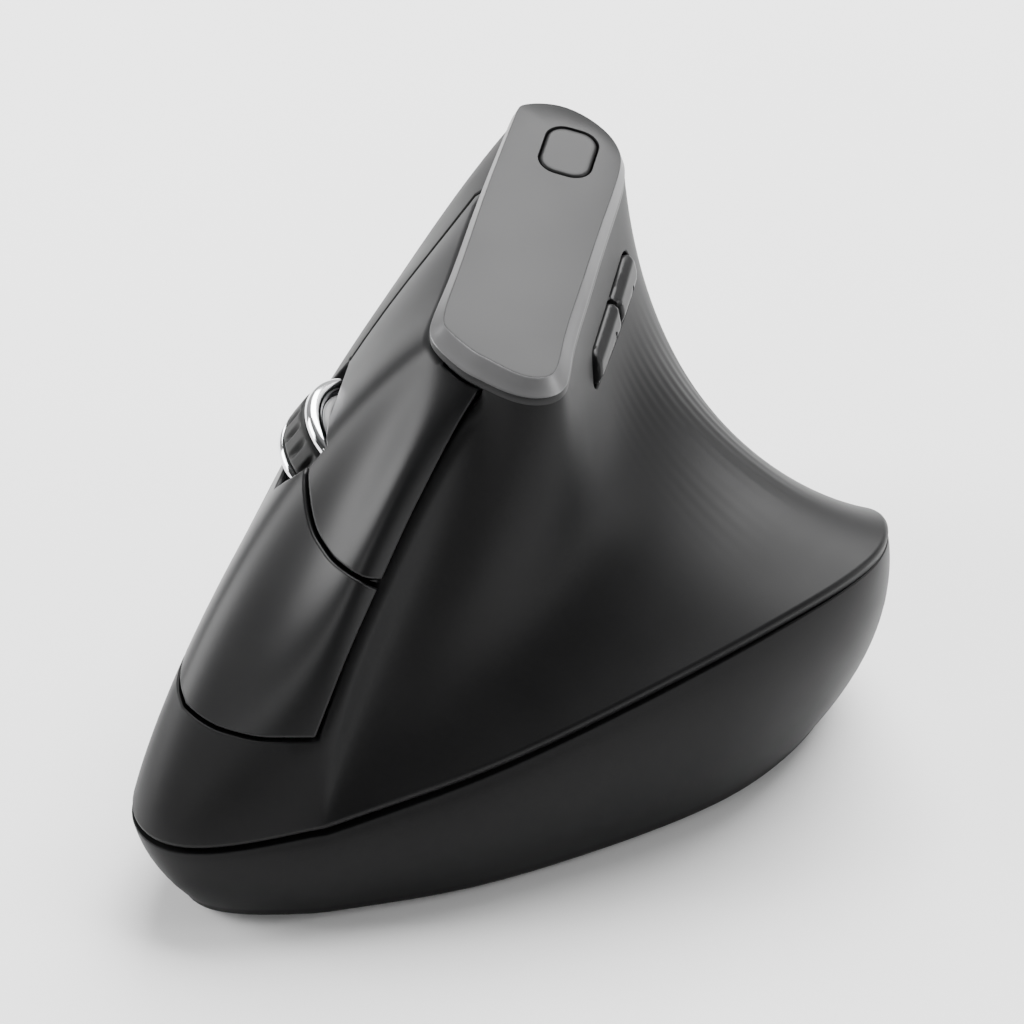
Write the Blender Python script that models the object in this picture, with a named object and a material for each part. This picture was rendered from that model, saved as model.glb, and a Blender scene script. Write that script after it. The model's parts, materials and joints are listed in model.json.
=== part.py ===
"""An upright (vertical) cordless computer mouse for the right hand, as separate working pieces.

Frame: +Z up, nose towards -Y, thumb side towards +X, finger side towards -X.
The origin is on the table under the middle of the mouse. Tables are in millimetres.
"""

import math

import bmesh
import bpy
import numpy as np
from mathutils import Matrix, Vector
from mathutils.geometry import delaunay_2d_cdt

MM = 0.001

# ---------------------------------------------------------------- driving dimensions (mm)
WALL = 1.8  # moulded wall of the shells and buttons
SEAM = 0.5  # gap round a button
FIT = 0.3  # gap between two pieces that rest on each other
FOOT_HEIGHT = 0.9  # the glide pads lift the base off the table
FLOOR_TOP = 2.7  # inner face of the base's floor

PLATE_CENTRE = (-10.1, 13.4, 71.2)  # middle of the top plate's lower face
PLATE_SKEW = 17.5  # degrees, rear end of the plate towards the finger side
PLATE_PITCH = 6.0  # degrees, rising to the rear
PLATE_TILT = 12.0  # degrees, falling to the thumb side
PLATE_EDGE = 0.8
PLATE_THICK = 2.4
PLATE_CHAMFER = 2.4
DECK = 1.6  # the upper shell's deck under the plate

WHEEL_CENTRE = (-23.5, -13.6, 49.65)
WHEEL_SKEW = 18.0  # degrees, rolling direction turned to the thumb side
WHEEL_LEAN = 56.0  # degrees, slope of the finger face at the wheel
WHEEL_RADIUS = 9.5
WHEEL_WIDTH = 9.0
RING_WIDTH = 1.6
AXLE_RADIUS = 1.0

CELL_RADIUS = 7.0  # AA cell
CELL_LENGTH = 49.0
CELL_CENTRE = (7.0, 12.0, 11.2)

AROUND = 4  # mesh steps between two rays of the body table
DOWN = 9  # mesh steps from the plate to the lip

# One row for each ray that runs down the body: plate edge (x, y), lip (x, y, z), foot (x, y),
# then how the profile leaves the plate (fall in degrees, pull) and meets the lip (rise, pull).
# The rows go from the crease at the front, round the finger side, the rear and the thumb side.
BODY_RAYS = (
    ((-5.6, -14.9), (-9.0, -50.8, 16.4), (-10.3, -51.5), (38, 26), (68, 20)),
    ((-10.3, -13.4), (-22.1, -59.0, 14.2), (-21.2, -56.6), (48, 18), (70, 14)),
    ((-12.9, -10.0), (-33.3, -55.6, 13.8), (-29.2, -51.6), (40, 26), (74, 18)),
    ((-15.2, -2.0), (-37.4, -41.7, 13.8), (-33.7, -40.3), (38, 28), (76, 22)),
    ((-18.5, 8.5), (-40.0, -22.2, 14.2), (-36.6, -23.2), (39, 30), (78, 24)),
    ((-21.9, 19.5), (-40.7, 0.8, 14.8), (-37.6, -1.2), (43, 30), (78, 24)),
    ((-25.2, 31.0), (-39.7, 24.8, 15.0), (-36.6, 21.9), (49, 26), (76, 22)),
    ((-25.4, 35.4), (-32.7, 45.8, 15.0), (-30.0, 42.0), (54, 24), (74, 20)),
    ((-21.1, 38.9), (-18.2, 58.3, 14.5), (-15.9, 54.4), (60, 24), (66, 20)),
    ((-14.9, 39.0), (1.8, 55.8, 14.0), (2.1, 52.6), (74, 30), (34, 18)),
    ((-10.6, 36.9), (20.3, 44.8, 19.0), (18.4, 42.6), (84, 32), (18, 18)),
    ((-7.4, 32.2), (34.8, 31.8, 31.5), (30.4, 31.6), (82, 28), (4, 20)),
    ((-3.7, 20.7), (40.6, 17.8, 36.0), (33.8, 17.9), (80, 24), (8, 22)),
    ((0.0, 9.2), (35.8, 2.8, 34.7), (31.9, 4.0), (80, 24), (14, 20)),
    ((3.8, -2.2), (27.2, -10.7, 30.8), (25.2, -10.8), (80, 24), (22, 18)),
    ((6.2, -9.4), (12.8, -29.0, 24.2), (11.9, -30.2), (79, 23), (30, 18)),
    ((2.9, -13.9), (1.3, -41.2, 19.8), (1.2, -41.8), (74, 21), (42, 17)),
    ((-2.4, -14.9), (-6.0, -48.4, 17.2), (-6.5, -48.7), (68, 18), (54, 17)),
)
RAYS = len(BODY_RAYS)
GRID_MARGIN = 1.8  # the mesh's own grid keeps this far from every outline
EDGE_SNAP = 1.2e-3  # an outline's crossing with the plate's edge is put exactly on it
SPREAD = 0.6  # half width, in rays, over which the inner skin's normals are averaged

# Outlines on the finger face, in mm to the right and up in the plane of FINGER.
SPLIT = ((3.0, 3.3), (3.6, 2.5), (5.0, 1.4), (6.7, 0.1), (8.4, -1.1), (10.3, -2.1), (12.4, -2.6),
         (14.8, -2.9), (17.1, -2.7), (19.4, -2.3), (20.9, -1.9))
LEFT_REAR = ((-10.9, 15.6), (-12.0, 19.0), (-14.4, 26.8), (-16.6, 35.2), (-19.3, 44.5))
RIGHT_TIP = ((-14.8, 7.2), (-15.6, 10.6), (-19.0, 17.0), (-22.2, 17.0), (-24.2, 12.0), (-24.5, 5.0))
RIGHT_REAR = ((-24.5, 5.0), (-22.5, -6.0), (-18.0, -12.0), (-8.0, -19.5), (5.9, -28.7), (10.7, -30.9))
RIGHT_NOSE = ((10.7, -30.9), (13.0, -30.7), (15.0, -30.3), (17.1, -29.5), (20.9, -27.2), (24.0, -23.9),
              (25.2, -22.2))
SLOT_ENDS = (-8.8, 9.3)  # the wheel's slot, along the wheel
SLOT_SIDES = (-5.1, 5.7)  # and across it
FLANGE = -0.08  # how far the left button reaches under the plate, as a share of the deck
FLANGE_END = 0.6  # ray at which that flange stops
PLATE_MARGIN = 0.012  # v of the button's plain edge beside the plate
CREASE = ((17.1, 0.0), (17.38, 0.1), (17.53, 0.25), (17.64, 0.45), (17.82, 0.62), (18.05, 0.8))  # (u, v)
CREASE_SPLIT, CREASE_LOW = 0.43, 0.77  # v where the seams between the buttons and under them reach it

# Outlines on the thumb face, in the plane of THUMB.
FORWARD_BUTTON = ((-5.0, 1.6), (5.6, 2.85), (6.5, 1.5), (5.2, -1.1), (-7.5, -2.0))
BACK_BUTTON = ((6.1, 2.9), (15.5, 4.0), (17.0, 3.6), (17.6, 2.2), (17.2, 0.6), (16.0, -0.3), (5.8, -1.05),
               (7.1, 1.5))
THUMB_PROUD = 0.9
THUMB_SWITCHES = {"forward": (-0.5, 0.3), "back": (11.5, 1.5)}

DPI_CENTRE = (-0.3, 18.2)  # across and along the plate
DPI_SIZE = (7.2, 10.0)
DPI_CORNER = 2.7
DPI_LOW = -0.4  # under side of the DPI button, from the plate's lower plane

SWITCH_SIZE = (12.8, 5.8, 6.5)
TACT_SIZE = (6.0, 6.0, 3.4)
TACT_RISE = 1.1  # how far a small switch's plunger stands out
BOARD = 1.2  # circuit board thickness
BOARD_LEVEL = -9.2  # under side of the slanted switch board, from the wheel's axis
LEFT_SWITCH = (-4.0, 11.0)  # along and across the wheel
RIGHT_SWITCH = (1.0, -14.2)
PRESS_SWITCH = (-17.0, 0.0)
ARM_OFFSET = 5.6  # inner face of a carriage arm from the wheel's middle
ARM_THICK = 1.6

MAIN_BOARD_LEVEL = 8.0
SENSOR_PLACE = (-10.4, -14.0)
POWER_PLACE = (-21.0, -28.0)
DOOR_SIZE = (19.0, 55.0)
RECEIVER_PLACE = (-15.5, 27.0)
RECEIVER_SIZE = (15.0, 20.5, 6.5)
CASE_SCREWS = {"left": (-29.5, 22.0), "rear": (-13.0, 44.5), "side": (24.0, 14.0)}
FRAME_COLUMNS = {"front": (6.0, -12.0), "rear": (-20.0, -12.0), "top": (-20.0, 8.0)}  # in WHEEL
GLIDE_RADIUS = 2.3
GLIDES = {"front": ((-25.5, -46.5), (-15.5, -48.0)), "rear": ((-15.5, 49.4), (1.0, 48.8)),
          "side": ((29.5, 20.0), (28.0, 6.0))}
BOARD_POSTS = ((-27.0, -34.0), (-9.0, -34.0), (-27.0, -5.0))
BOSS_RADIUS = 3.4
BOSS_TOP = 9.7
SCREW_RADIUS = 1.0
BASE_WALL = 2.0
LIP_GAP = 0.6  # open seam between the upper shell's rim and the base
BASE_ROUND = 1.0  # slope from the band to the sole
BAND_SWELL = 0.08  # how far the band bulges, as a share of its height

UP = Vector((0, 0, 1))
BODY_BLACK = ("body_black", (0.035, 0.035, 0.037), 0.55, 0.0)
BUTTON_GREY = ("button_grey", (0.075, 0.075, 0.078), 0.45, 0.0)
THUMB_GREY = ("thumb_grey", (0.05, 0.05, 0.053), 0.4, 0.0)
PLATE_GREY = ("plate_grey", (0.16, 0.16, 0.165), 0.4, 0.6)
CHROME = ("chrome", (0.75, 0.75, 0.77), 0.12, 1.0)
RUBBER = ("rubber", (0.02, 0.02, 0.02), 0.75, 0.0)
INNER_BLACK = ("inner_black", (0.04, 0.04, 0.042), 0.5, 0.0)
SWITCH_RED = ("switch_red", (0.5, 0.04, 0.03), 0.4, 0.0)
BOARD_GREEN = ("board_green", (0.02, 0.16, 0.07), 0.45, 0.0)
CHIP_BLACK = ("chip_black", (0.02, 0.02, 0.022), 0.5, 0.0)
CLEAR = ("clear", (0.75, 0.8, 0.82), 0.08, 0.0)
STEEL = ("steel", (0.6, 0.6, 0.62), 0.3, 1.0)
CELL_WRAP = ("cell_wrap", (0.12, 0.2, 0.42), 0.3, 0.2)
GLIDE = ("glide", (0.7, 0.7, 0.68), 0.35, 0.0)


# ---------------------------------------------------------------- frames and small maths

def unit(vector):
    return vector / np.linalg.norm(vector)


def face_frame(azimuth, elevation, origin):
    """A frame whose Z leaves the object at this azimuth and elevation, with X level."""
    a, e = math.radians(azimuth), math.radians(elevation)
    out = Vector((math.sin(a) * math.cos(e), -math.cos(a) * math.cos(e), math.sin(e)))
    return frame_of(Vector((math.cos(a), math.sin(a), 0)), out, origin)


def frame_of(x_axis, z_axis, origin):
    y_axis = z_axis.cross(x_axis)
    frame = Matrix((x_axis, y_axis, z_axis)).transposed().to_4x4()
    frame.translation = Vector(origin)
    return frame


def plate_frame():
    """X to the thumb side and Y to the rear in the plate's lower plane, Z out of it."""
    skew = math.radians(PLATE_SKEW)
    pitch = math.tan(math.radians(PLATE_PITCH))
    tilt = math.tan(math.radians(PLATE_TILT))
    rear = Vector((-math.sin(skew), math.cos(skew), pitch))
    across = Vector((math.cos(skew), math.sin(skew), -tilt))
    out = across.cross(rear).normalized()
    return frame_of(rear.normalized().cross(out), out, PLATE_CENTRE)


def level(x, y, z=0.0):
    return Matrix.Translation((x, y, z))


FINGER = face_frame(-30, 45, (-23.2, -19.2, 45.0))
THUMB = face_frame(104, 20, (-1.2, 10.8, 60.0))
WHEEL = face_frame(WHEEL_SKEW - 90, 90 - WHEEL_LEAN, WHEEL_CENTRE)
PLATE = plate_frame()


def plate_height(x, y):
    """Height of the plate's lower plane over a point of the table."""
    skew = math.radians(PLATE_SKEW)
    rear = (y - PLATE_CENTRE[1]) * math.cos(skew) - (x - PLATE_CENTRE[0]) * math.sin(skew)
    across = (x - PLATE_CENTRE[0]) * math.cos(skew) + (y - PLATE_CENTRE[1]) * math.sin(skew)
    slope = math.tan(math.radians(PLATE_PITCH))
    return PLATE_CENTRE[2] + rear * slope - across * math.tan(math.radians(PLATE_TILT))


# ---------------------------------------------------------------- the outer skin

class ClosedCurve:
    """A smooth closed curve through points that are one unit of u apart."""

    def __init__(self, points):
        self.points = np.array(points, float)
        one = np.eye(len(self.points))
        system = 4 * one + np.roll(one, 1, 0) + np.roll(one, -1, 0)
        ahead, behind = np.roll(self.points, -1, 0), np.roll(self.points, 1, 0)
        self.slopes = np.linalg.solve(system, 3 * (ahead - behind))

    def at(self, u):
        first = np.floor(u).astype(int) % len(self.points)
        second = (first + 1) % len(self.points)
        t = (u - np.floor(u))[..., None]
        start = (2 * t**3 - 3 * t**2 + 1) * self.points[first] + (t**3 - 2 * t**2 + t) * self.slopes[first]
        end = (3 * t**2 - 2 * t**3) * self.points[second] + (t**3 - t**2) * self.slopes[second]
        return start + end


def leaving(ring, targets, angles, pulls, sign):
    """Bezier handles that leave a ring squarely towards the targets, at these angles to the level."""
    handles = []
    along = np.roll(ring, -1, 0) - np.roll(ring, 1, 0)
    for point, target, tangent, angle, pull in zip(ring, targets, along, angles, pulls):
        aim = unit((target - point)[:2])
        square = unit(np.array((-tangent[1], tangent[0])))
        square = square if square @ aim > 0 else -square
        way = unit(square + aim) * math.cos(math.radians(angle))
        rise = sign * math.sin(math.radians(angle))
        handles.append(point + pull * np.array((way[0], way[1], rise)))
    return np.array(handles)


class Skin:
    """The body's outer surface: u runs round it in rays, v from the plate (0) to the lip (1).

    Between v = -1 (the middle) and v = 0 it is the flat deck that carries the top plate.
    """

    def __init__(self):
        top = np.array([(x, y, plate_height(x, y)) for (x, y), *_ in BODY_RAYS])
        lip = np.array([ray[1] for ray in BODY_RAYS], float)
        falls, rises = np.array([ray[3] for ray in BODY_RAYS]), np.array([ray[4] for ray in BODY_RAYS])
        rings = [top, leaving(top, lip, falls[:, 0], falls[:, 1], -1)]
        rings += [leaving(lip, top, rises[:, 0], rises[:, 1], 1), lip]
        self.rings = [ClosedCurve(ring) for ring in rings]
        self.foot = ClosedCurve([ray[2] for ray in BODY_RAYS])
        self.middle = np.array(PLATE_CENTRE, float)

    def at(self, u, v):
        u, v = np.broadcast_arrays(np.asarray(u, float), np.asarray(v, float))
        t = np.clip(v, 0, 1)[..., None]
        top, upper, lower, lip = (ring.at(u) for ring in self.rings)
        wall = (1 - t)**3 * top + 3 * t * (1 - t)**2 * upper + 3 * t**2 * (1 - t) * lower + t**3 * lip
        share = np.clip(1 + v, 0, 1)[..., None]
        return np.where(v[..., None] < 0, self.middle + (top - self.middle) * share, wall)

    def normal(self, u, v):
        step = 1e-3
        v = np.maximum(v, 0)
        around = self.at(u + step, v) - self.at(u - step, v)
        down = self.at(u, np.minimum(v + step, 1)) - self.at(u, np.maximum(v - step, 0))
        square = np.cross(around, down)
        return square / np.linalg.norm(square, axis=-1, keepdims=True)

    def soft_normal(self, u, v):
        """The normal averaged along the rays, so that an offset doesn't fold at the crease."""
        total = sum(self.normal(u + shift, v) for shift in np.linspace(-SPREAD, SPREAD, 5))
        return total / np.linalg.norm(total, axis=-1, keepdims=True)

    def raised(self, u, v, height):
        """Points at this height over the skin."""
        flat = np.array(PLATE.to_3x3() @ UP)
        way = np.where((v < 0)[..., None], flat, self.normal(u, v))
        return self.at(u, v) + np.broadcast_to(height, v.shape)[..., None] * way

    def inner(self, u, v, depth):
        """Points on the inner face of a wall of this depth, with the deck's under side level to it."""
        inward = -depth * self.soft_normal(u, np.maximum(v, 0))
        inward *= np.where(v < 0, np.clip(1 + v, 0, 1)**6, 1)[:, None]
        inside = self.at(u, v) + inward
        roof = plate_height(inside[:, 0], inside[:, 1]) - DECK
        inside[:, 2] = np.where(v <= 0, roof, np.minimum(inside[:, 2], roof))
        return inside


SKIN = Skin()


def settle(error_of, u, v):
    """Moves (u, v) until error_of(u, v) vanishes or is least."""
    place = np.array((u, v), float)
    step = 1e-4
    for _ in range(12):
        error = error_of(*place)
        slope_u = (error_of(place[0] + step, place[1]) - error) / step
        slope_v = (error_of(place[0], place[1] - step) - error) / -step
        slope = np.stack((slope_u, slope_v), 1)
        move = np.linalg.solve(slope.T @ slope + 1e-3 * np.eye(2), -slope.T @ error)
        place += np.clip(move, -0.3, 0.3)
        place[1] = min(place[1], 1.0)
    return place


def find(frame, x, y):
    """(u, v) of the skin under the point (x, y) of a face's plane."""
    back = np.array(frame.inverted())
    u, v = (grid.ravel() for grid in np.meshgrid(np.arange(0, RAYS, 0.2), np.linspace(0, 1, 26)))
    flat = SKIN.at(u, v) @ back[:3, :3].T + back[:3, 3]
    faces = SKIN.normal(u, v) @ back[2, :3] > 0
    miss = np.hypot(*(flat[:, :2] - (x, y)).T) + np.where(faces, 0, 1e3)
    near = miss < miss.min() + 2.0
    start = int(np.argmax(np.where(near, flat[:, 2] - 3 * miss, -1e4)))
    return settle(lambda a, b: SKIN.at(a, b) @ back[:2, :3].T + back[:2, 3] - (x, y), u[start], v[start])


def depth_at(frame, x, y):
    """Height of the skin over the point (x, y) of a face's plane."""
    back = np.array(frame.inverted())
    return float(SKIN.at(*find(frame, x, y)) @ back[2, :3] + back[2, 3])


def hinge_point(frame, x, y, below):
    """A point this far under the skin, square to a face's plane."""
    return tuple(frame @ Vector((x, y, depth_at(frame, x, y) - below)))


# ---------------------------------------------------------------- outlines on the skin

def smooth(points, step=2.5):
    """A Catmull-Rom curve through the points, with a point about every step."""
    before, after = 2 * np.array(points[0]) - points[1], 2 * np.array(points[-1]) - points[-2]
    ends = [before, *map(np.array, points), after]
    curve = [ends[1]]
    for a, b, c, d in zip(ends, ends[1:], ends[2:], ends[3:]):
        count = max(1, round(np.linalg.norm(c - b) / step))
        for t in np.arange(1, count + 1) / count:
            bend = (c - a) * t + (2 * a - 5 * b + 4 * c - d) * t**2 + (3 * b - 3 * c + d - a) * t**3
            curve.append(b + bend / 2)
    return curve


def on_face(frame, points):
    return [find(frame, x, y) for x, y in points]


def stretch(start, end, count):
    return [tuple(point) for point in np.linspace(start, end, count + 1)]


def turned(loop):
    """The loop in the order in which u and v grow as X and Y would."""
    x, y = to_map(loop).T
    area = x @ np.roll(y, -1) - y @ np.roll(x, -1)
    return loop if area > 0 else loop[::-1]


def grown(loop, distance):
    """The loop moved outwards over the skin by a distance in mm."""
    loop = turned(np.array(loop))
    place = SKIN.at(*loop.T)
    normal = SKIN.normal(*loop.T)
    ahead, behind = np.roll(place, -1, 0) - place, place - np.roll(place, 1, 0)
    sides = [np.cross(normal, way / np.linalg.norm(way, axis=1, keepdims=True)) for way in (ahead, behind)]
    both = sides[0] + sides[1]
    both /= np.linalg.norm(both, axis=1, keepdims=True)
    miter = 1 / np.maximum(np.einsum("ij,ij->i", both, sides[0]), 0.6)
    goal = place + both * (miter * distance)[:, None]
    return np.array([settle(lambda a, b, g=g: SKIN.at(a, b) - g, *start) for g, start in zip(goal, loop)])


def to_map(loop):
    """(u, v) as a point of a flat disc: the deck inside radius 1, the sides out to radius 3."""
    u, v = np.asarray(loop, float).T
    radius = np.where(v < 0, 1 + v, 1 + 2 * v)
    angle = 2 * math.pi * u / RAYS
    return np.stack((radius * np.cos(angle), radius * np.sin(angle)), 1)


def from_map(points):
    x, y = np.asarray(points, float).T
    radius = np.hypot(x, y)
    v = np.where(radius < 1, radius - 1, (radius - 1) / 2)
    v[np.abs(v) < EDGE_SNAP] = 0
    return np.arctan2(y, x) / (2 * math.pi) * RAYS % RAYS, np.minimum(v, 1)


def inside(points, loop):
    """Even-odd test of map points against a loop of map points."""
    x, y = points[:, 0][:, None], points[:, 1][:, None]
    ax, ay = loop.T
    bx, by = np.roll(loop, -1, 0).T
    spans = (ay > y) != (by > y)
    crossing = ax + (y - ay) * (bx - ax) / np.where(by == ay, 1, by - ay)
    return (spans & (x < crossing)).sum(1) % 2 == 1


def crease(v_start, v_end):
    """A run down the buttons' edge at the crease."""
    curve = np.array(smooth(CREASE, 0.04))
    run = np.linspace(v_start, v_end, max(2, round(abs(v_end - v_start) * 24)) + 1)
    return list(zip(np.interp(run, curve[:, 1], curve[:, 0]), run))


def beside(line, distance):
    """A smooth copy of a line, this far to its left."""
    curve = np.array(smooth(line))
    along = np.gradient(curve, axis=0)
    left = np.column_stack((-along[:, 1], along[:, 0]))
    return curve + distance * left / np.linalg.norm(along, axis=1)[:, None]


def left_button_loop():
    """The left button's edge, with a flange under the plate that stops short of the crease."""
    rear = find(FINGER, *LEFT_REAR[-1])[0] + 0.12
    loop = crease(PLATE_MARGIN, CREASE_SPLIT - 0.01)
    loop += on_face(FINGER, beside(SPLIT, SEAM / 2)[:-1])[::-1]
    loop += on_face(WHEEL, slot_side(SLOT_SIDES[1])[::-1])
    loop += on_face(FINGER, smooth(LEFT_REAR)[:-1])
    loop.append((rear, 0.0))
    loop += stretch((rear, FLANGE), (FLANGE_END, FLANGE), 20)
    loop += stretch((FLANGE_END, PLATE_MARGIN), (CREASE[0][0] - RAYS + 0.2, PLATE_MARGIN), 6)
    return loop


def right_button_loop():
    loop = on_face(FINGER, beside(SPLIT, -SEAM / 2)[:-1])
    loop += crease(CREASE_SPLIT + 0.01, CREASE_LOW)
    loop += on_face(FINGER, smooth(RIGHT_NOSE)[:-1])[::-1]
    loop += on_face(FINGER, smooth(RIGHT_REAR)[:-1])[::-1]
    loop += on_face(FINGER, smooth(RIGHT_TIP)[:-1])[::-1]
    loop += on_face(WHEEL, slot_side(SLOT_SIDES[0]))
    return loop


def slot_side(across):
    return stretch((SLOT_ENDS[0], across), (SLOT_ENDS[1], across), 8)


def slot_loop():
    return on_face(WHEEL, slot_side(SLOT_SIDES[0]) + slot_side(SLOT_SIDES[1])[::-1])


def thumb_loop(outline):
    points = []
    for start, end in zip(outline, outline[1:] + outline[:1]):
        count = max(1, round(math.dist(start, end) / 2.5))
        points += stretch(start, end, count)[:-1]
    return on_face(THUMB, points)


def dpi_outline(grow=0.0):
    """The DPI button's outline in the plate's frame: a rectangle with round corners."""
    points = []
    half = np.array(DPI_SIZE) / 2 - DPI_CORNER
    for corner, (sx, sy) in enumerate(((1, 1), (-1, 1), (-1, -1), (1, -1))):
        for angle in np.radians(np.linspace(0, 90, 5) + 90 * corner):
            reach = (DPI_CORNER + grow) * np.array((math.cos(angle), math.sin(angle)))
            points.append(np.array(DPI_CENTRE) + half * (sx, sy) + reach)
    return points


def deck_loop(outline):
    """A loop in the plate's frame as (u, v) of the deck."""
    loop = []
    for x, y in outline:
        point = np.array(PLATE @ Vector((x, y, 0)))
        around = np.array([SKIN.at(u, 0.0) for u in np.arange(0, RAYS, 0.05)])[:, :2] - SKIN.middle[:2]
        way = point[:2] - SKIN.middle[:2]
        turn = np.argmax((around @ way) / np.linalg.norm(around, axis=1))
        loop.append(settle(lambda a, b, p=point: SKIN.at(a, b) - p, turn * 0.05, -0.5))
    return loop


# ---------------------------------------------------------------- making objects

def finish_of(finish):
    name, colour, roughness, metallic = finish
    material = bpy.data.materials.get(name)
    if material:
        return material
    material = bpy.data.materials.new(name)
    material.use_nodes = True
    shader = material.node_tree.nodes["Principled BSDF"]
    shader.inputs["Base Color"].default_value = (*colour, 1)
    shader.inputs["Roughness"].default_value = roughness
    shader.inputs["Metallic"].default_value = metallic
    return material


def add(name, bm, frame, finish):
    """Makes an object of a bmesh in mm, placed by a frame in mm."""
    bmesh.ops.scale(bm, vec=(MM, MM, MM), verts=bm.verts)
    bmesh.ops.recalc_face_normals(bm, faces=bm.faces)
    mesh = bpy.data.meshes.new(name)
    bm.to_mesh(mesh)
    bm.free()
    mesh.materials.append(finish_of(finish))
    mesh.shade_smooth()
    mesh.set_sharp_from_angle(angle=math.radians(32))
    obj = bpy.data.objects.new(name, mesh)
    world = frame.copy()
    world.translation = frame.translation * MM
    obj.matrix_world = world
    bpy.context.scene.collection.objects.link(obj)
    return obj


def boolean(target, other, operation):
    modifier = target.modifiers.new(other.name, "BOOLEAN")
    modifier.operation = operation
    modifier.solver = "EXACT"
    modifier.object = other
    other.hide_render = True
    other.display_type = "WIRE"


def join(target, *others):
    for other in others:
        boolean(target, other, "UNION")
    return target


def cut(target, *others):
    for other in others:
        boolean(target, other, "DIFFERENCE")
    return target


def from_data(points, faces):
    bm = bmesh.new()
    made = [bm.verts.new(point) for point in points]
    for face in faces:
        bm.faces.new([made[index] for index in face])
    return bm


def loft(rings):
    """A closed solid through rings of equal count, capped at the first and the last."""
    count = len(rings[0])
    points = [point for ring in rings for point in ring]
    faces = [tuple(range(count)), tuple(range(len(points) - 1, len(points) - count - 1, -1))]
    for row in range(len(rings) - 1):
        for i in range(count):
            a, b = row * count + i, row * count + (i + 1) % count
            faces.append((a, a + count, b + count, b))
    return from_data(points, faces)


def prism(outline, low, high):
    return loft([[(x, y, z) for x, y in outline] for z in (low, high)])


def box(low, high):
    (x0, y0, z0), (x1, y1, z1) = low, high
    return prism(((x0, y0), (x1, y0), (x1, y1), (x0, y1)), z0, z1)


def block(size, centre, low):
    """A box by its size, the middle of its plan and its under side."""
    (a, b, c), (x, y) = size, centre
    return box((x - a / 2, y - b / 2, low), (x + a / 2, y + b / 2, low + c))


def circle(radius, centre=(0, 0), sides=24):
    angles = 2 * math.pi * np.arange(sides) / sides
    return [(centre[0] + radius * math.cos(a), centre[1] + radius * math.sin(a)) for a in angles]


def cylinder(radius, centre, low, high, sides=24):
    return prism(circle(radius, centre, sides), low, high)


def turned_solid(profile, sides=36):
    """A ring or disc turned round Z from a closed profile of (radius, height)."""
    bm = bmesh.new()
    ends = [bm.verts.new((r, 0, z)) for r, z in profile]
    edges = [bm.edges.new(pair) for pair in zip(ends, ends[1:] + ends[:1])]
    bmesh.ops.spin(bm, geom=ends + edges, angle=2 * math.pi, steps=sides, axis=UP, use_merge=True)
    bmesh.ops.remove_doubles(bm, verts=bm.verts, dist=1e-4)
    return bm


def rod(profile, sides=24):
    """A solid turned round Z from (radius, height) pairs, bottom to top."""
    return loft([[(x, y, z) for x, y in circle(r, sides=sides)] for r, z in profile])


def helper(name, bm, frame=None):
    return add("tool_" + name, bm, frame or Matrix(), INNER_BLACK)


# ---------------------------------------------------------------- pieces cut from the skin

def clear_of(points, loops, margin):
    """Which (u, v) points lie further than a margin from every point of the loops."""
    place = SKIN.at(*points.T)
    edge = np.concatenate([SKIN.at(*np.array(loop).T) for loop in loops])
    return np.linalg.norm(place[:, None] - edge[None], axis=2).min(1) > margin


def biggest(triangles):
    """The largest set of triangles that hang together by their edges."""
    owner = {}
    links = [[] for _ in triangles]
    for index, triangle in enumerate(triangles):
        for a, b in zip(triangle, (*triangle[1:], triangle[0])):
            other = owner.setdefault(frozenset((a, b)), index)
            if other != index:
                links[index].append(other)
                links[other].append(index)
    best, seen = [], set()
    for start in range(len(triangles)):
        if start in seen:
            continue
        group, stack = [], [start]
        seen.add(start)
        while stack:
            index = stack.pop()
            group.append(triangles[index])
            stack += [other for other in links[index] if other not in seen]
            seen.update(links[index])
        best = max(best, group, key=len)
    return best


def region(outer, holes, lines):
    """Triangles of the skin inside one loop and outside others, as (u, v) points and indices."""
    loops = [np.array(loop) for loop in (outer, *holes, *lines)]
    u, v = np.meshgrid(np.arange(0, RAYS, 1 / AROUND), np.arange(1, DOWN + 1) / (DOWN + 1))
    grid = np.stack((u.ravel(), v.ravel()), 1)
    grid = grid[clear_of(grid, loops[:1 + len(holes)], GRID_MARGIN)]
    grid = grid[inside(to_map(grid), to_map(loops[0]))]
    points = [Vector(p) for p in np.concatenate([to_map(loop) for loop in (*loops, grid)])]
    edges, first = [], 0
    for loop in loops:
        edges += [(first + i, first + (i + 1) % len(loop)) for i in range(len(loop))]
        first += len(loop)
    found, _, faces, *_ = delaunay_2d_cdt(points, edges, [], 0, 1e-5, False)
    found, faces = np.array(found), np.array(faces)
    middle = found[faces].mean(1)
    keep = inside(middle, to_map(loops[0]))
    for hole in loops[1:1 + len(holes)]:
        keep &= ~inside(middle, to_map(hole))
    kept = biggest([tuple(int(i) for i in face) for face in faces[keep]])
    used = sorted({index for face in kept for index in face})
    number = {old: new for new, old in enumerate(used)}
    return found[used], [tuple(number[i] for i in face) for face in kept]


def skin_piece(outer, holes=(), lines=(), proud=0.0, chamfer=0.0, origin=(0, 0, 0)):
    """A closed piece of wall: the skin inside outer and outside holes, WALL thick."""
    rows = list(lines)
    if chamfer:
        rows.append(grown(outer, -chamfer))
    flat, faces = region(outer, holes, rows)
    u, v = from_map(flat)
    sides = {(a, b) for face in faces for a, b in zip(face, (*face[1:], face[0]))}
    rim = [(a, b) for a, b in sides if (b, a) not in sides]
    lift = np.full(len(flat), proud)
    lift[[a for a, _ in rim]] -= chamfer
    shift, count = np.array(origin, float), len(flat)
    points = [*(SKIN.raised(u, v, lift) - shift), *(SKIN.inner(u, v, WALL) - shift)]
    shell = [face[::-1] for face in faces] + [tuple(i + count for i in face) for face in faces]
    shell += [(a, b, b + count, a + count) for a, b in rim]
    return from_data(points, shell)


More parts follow.
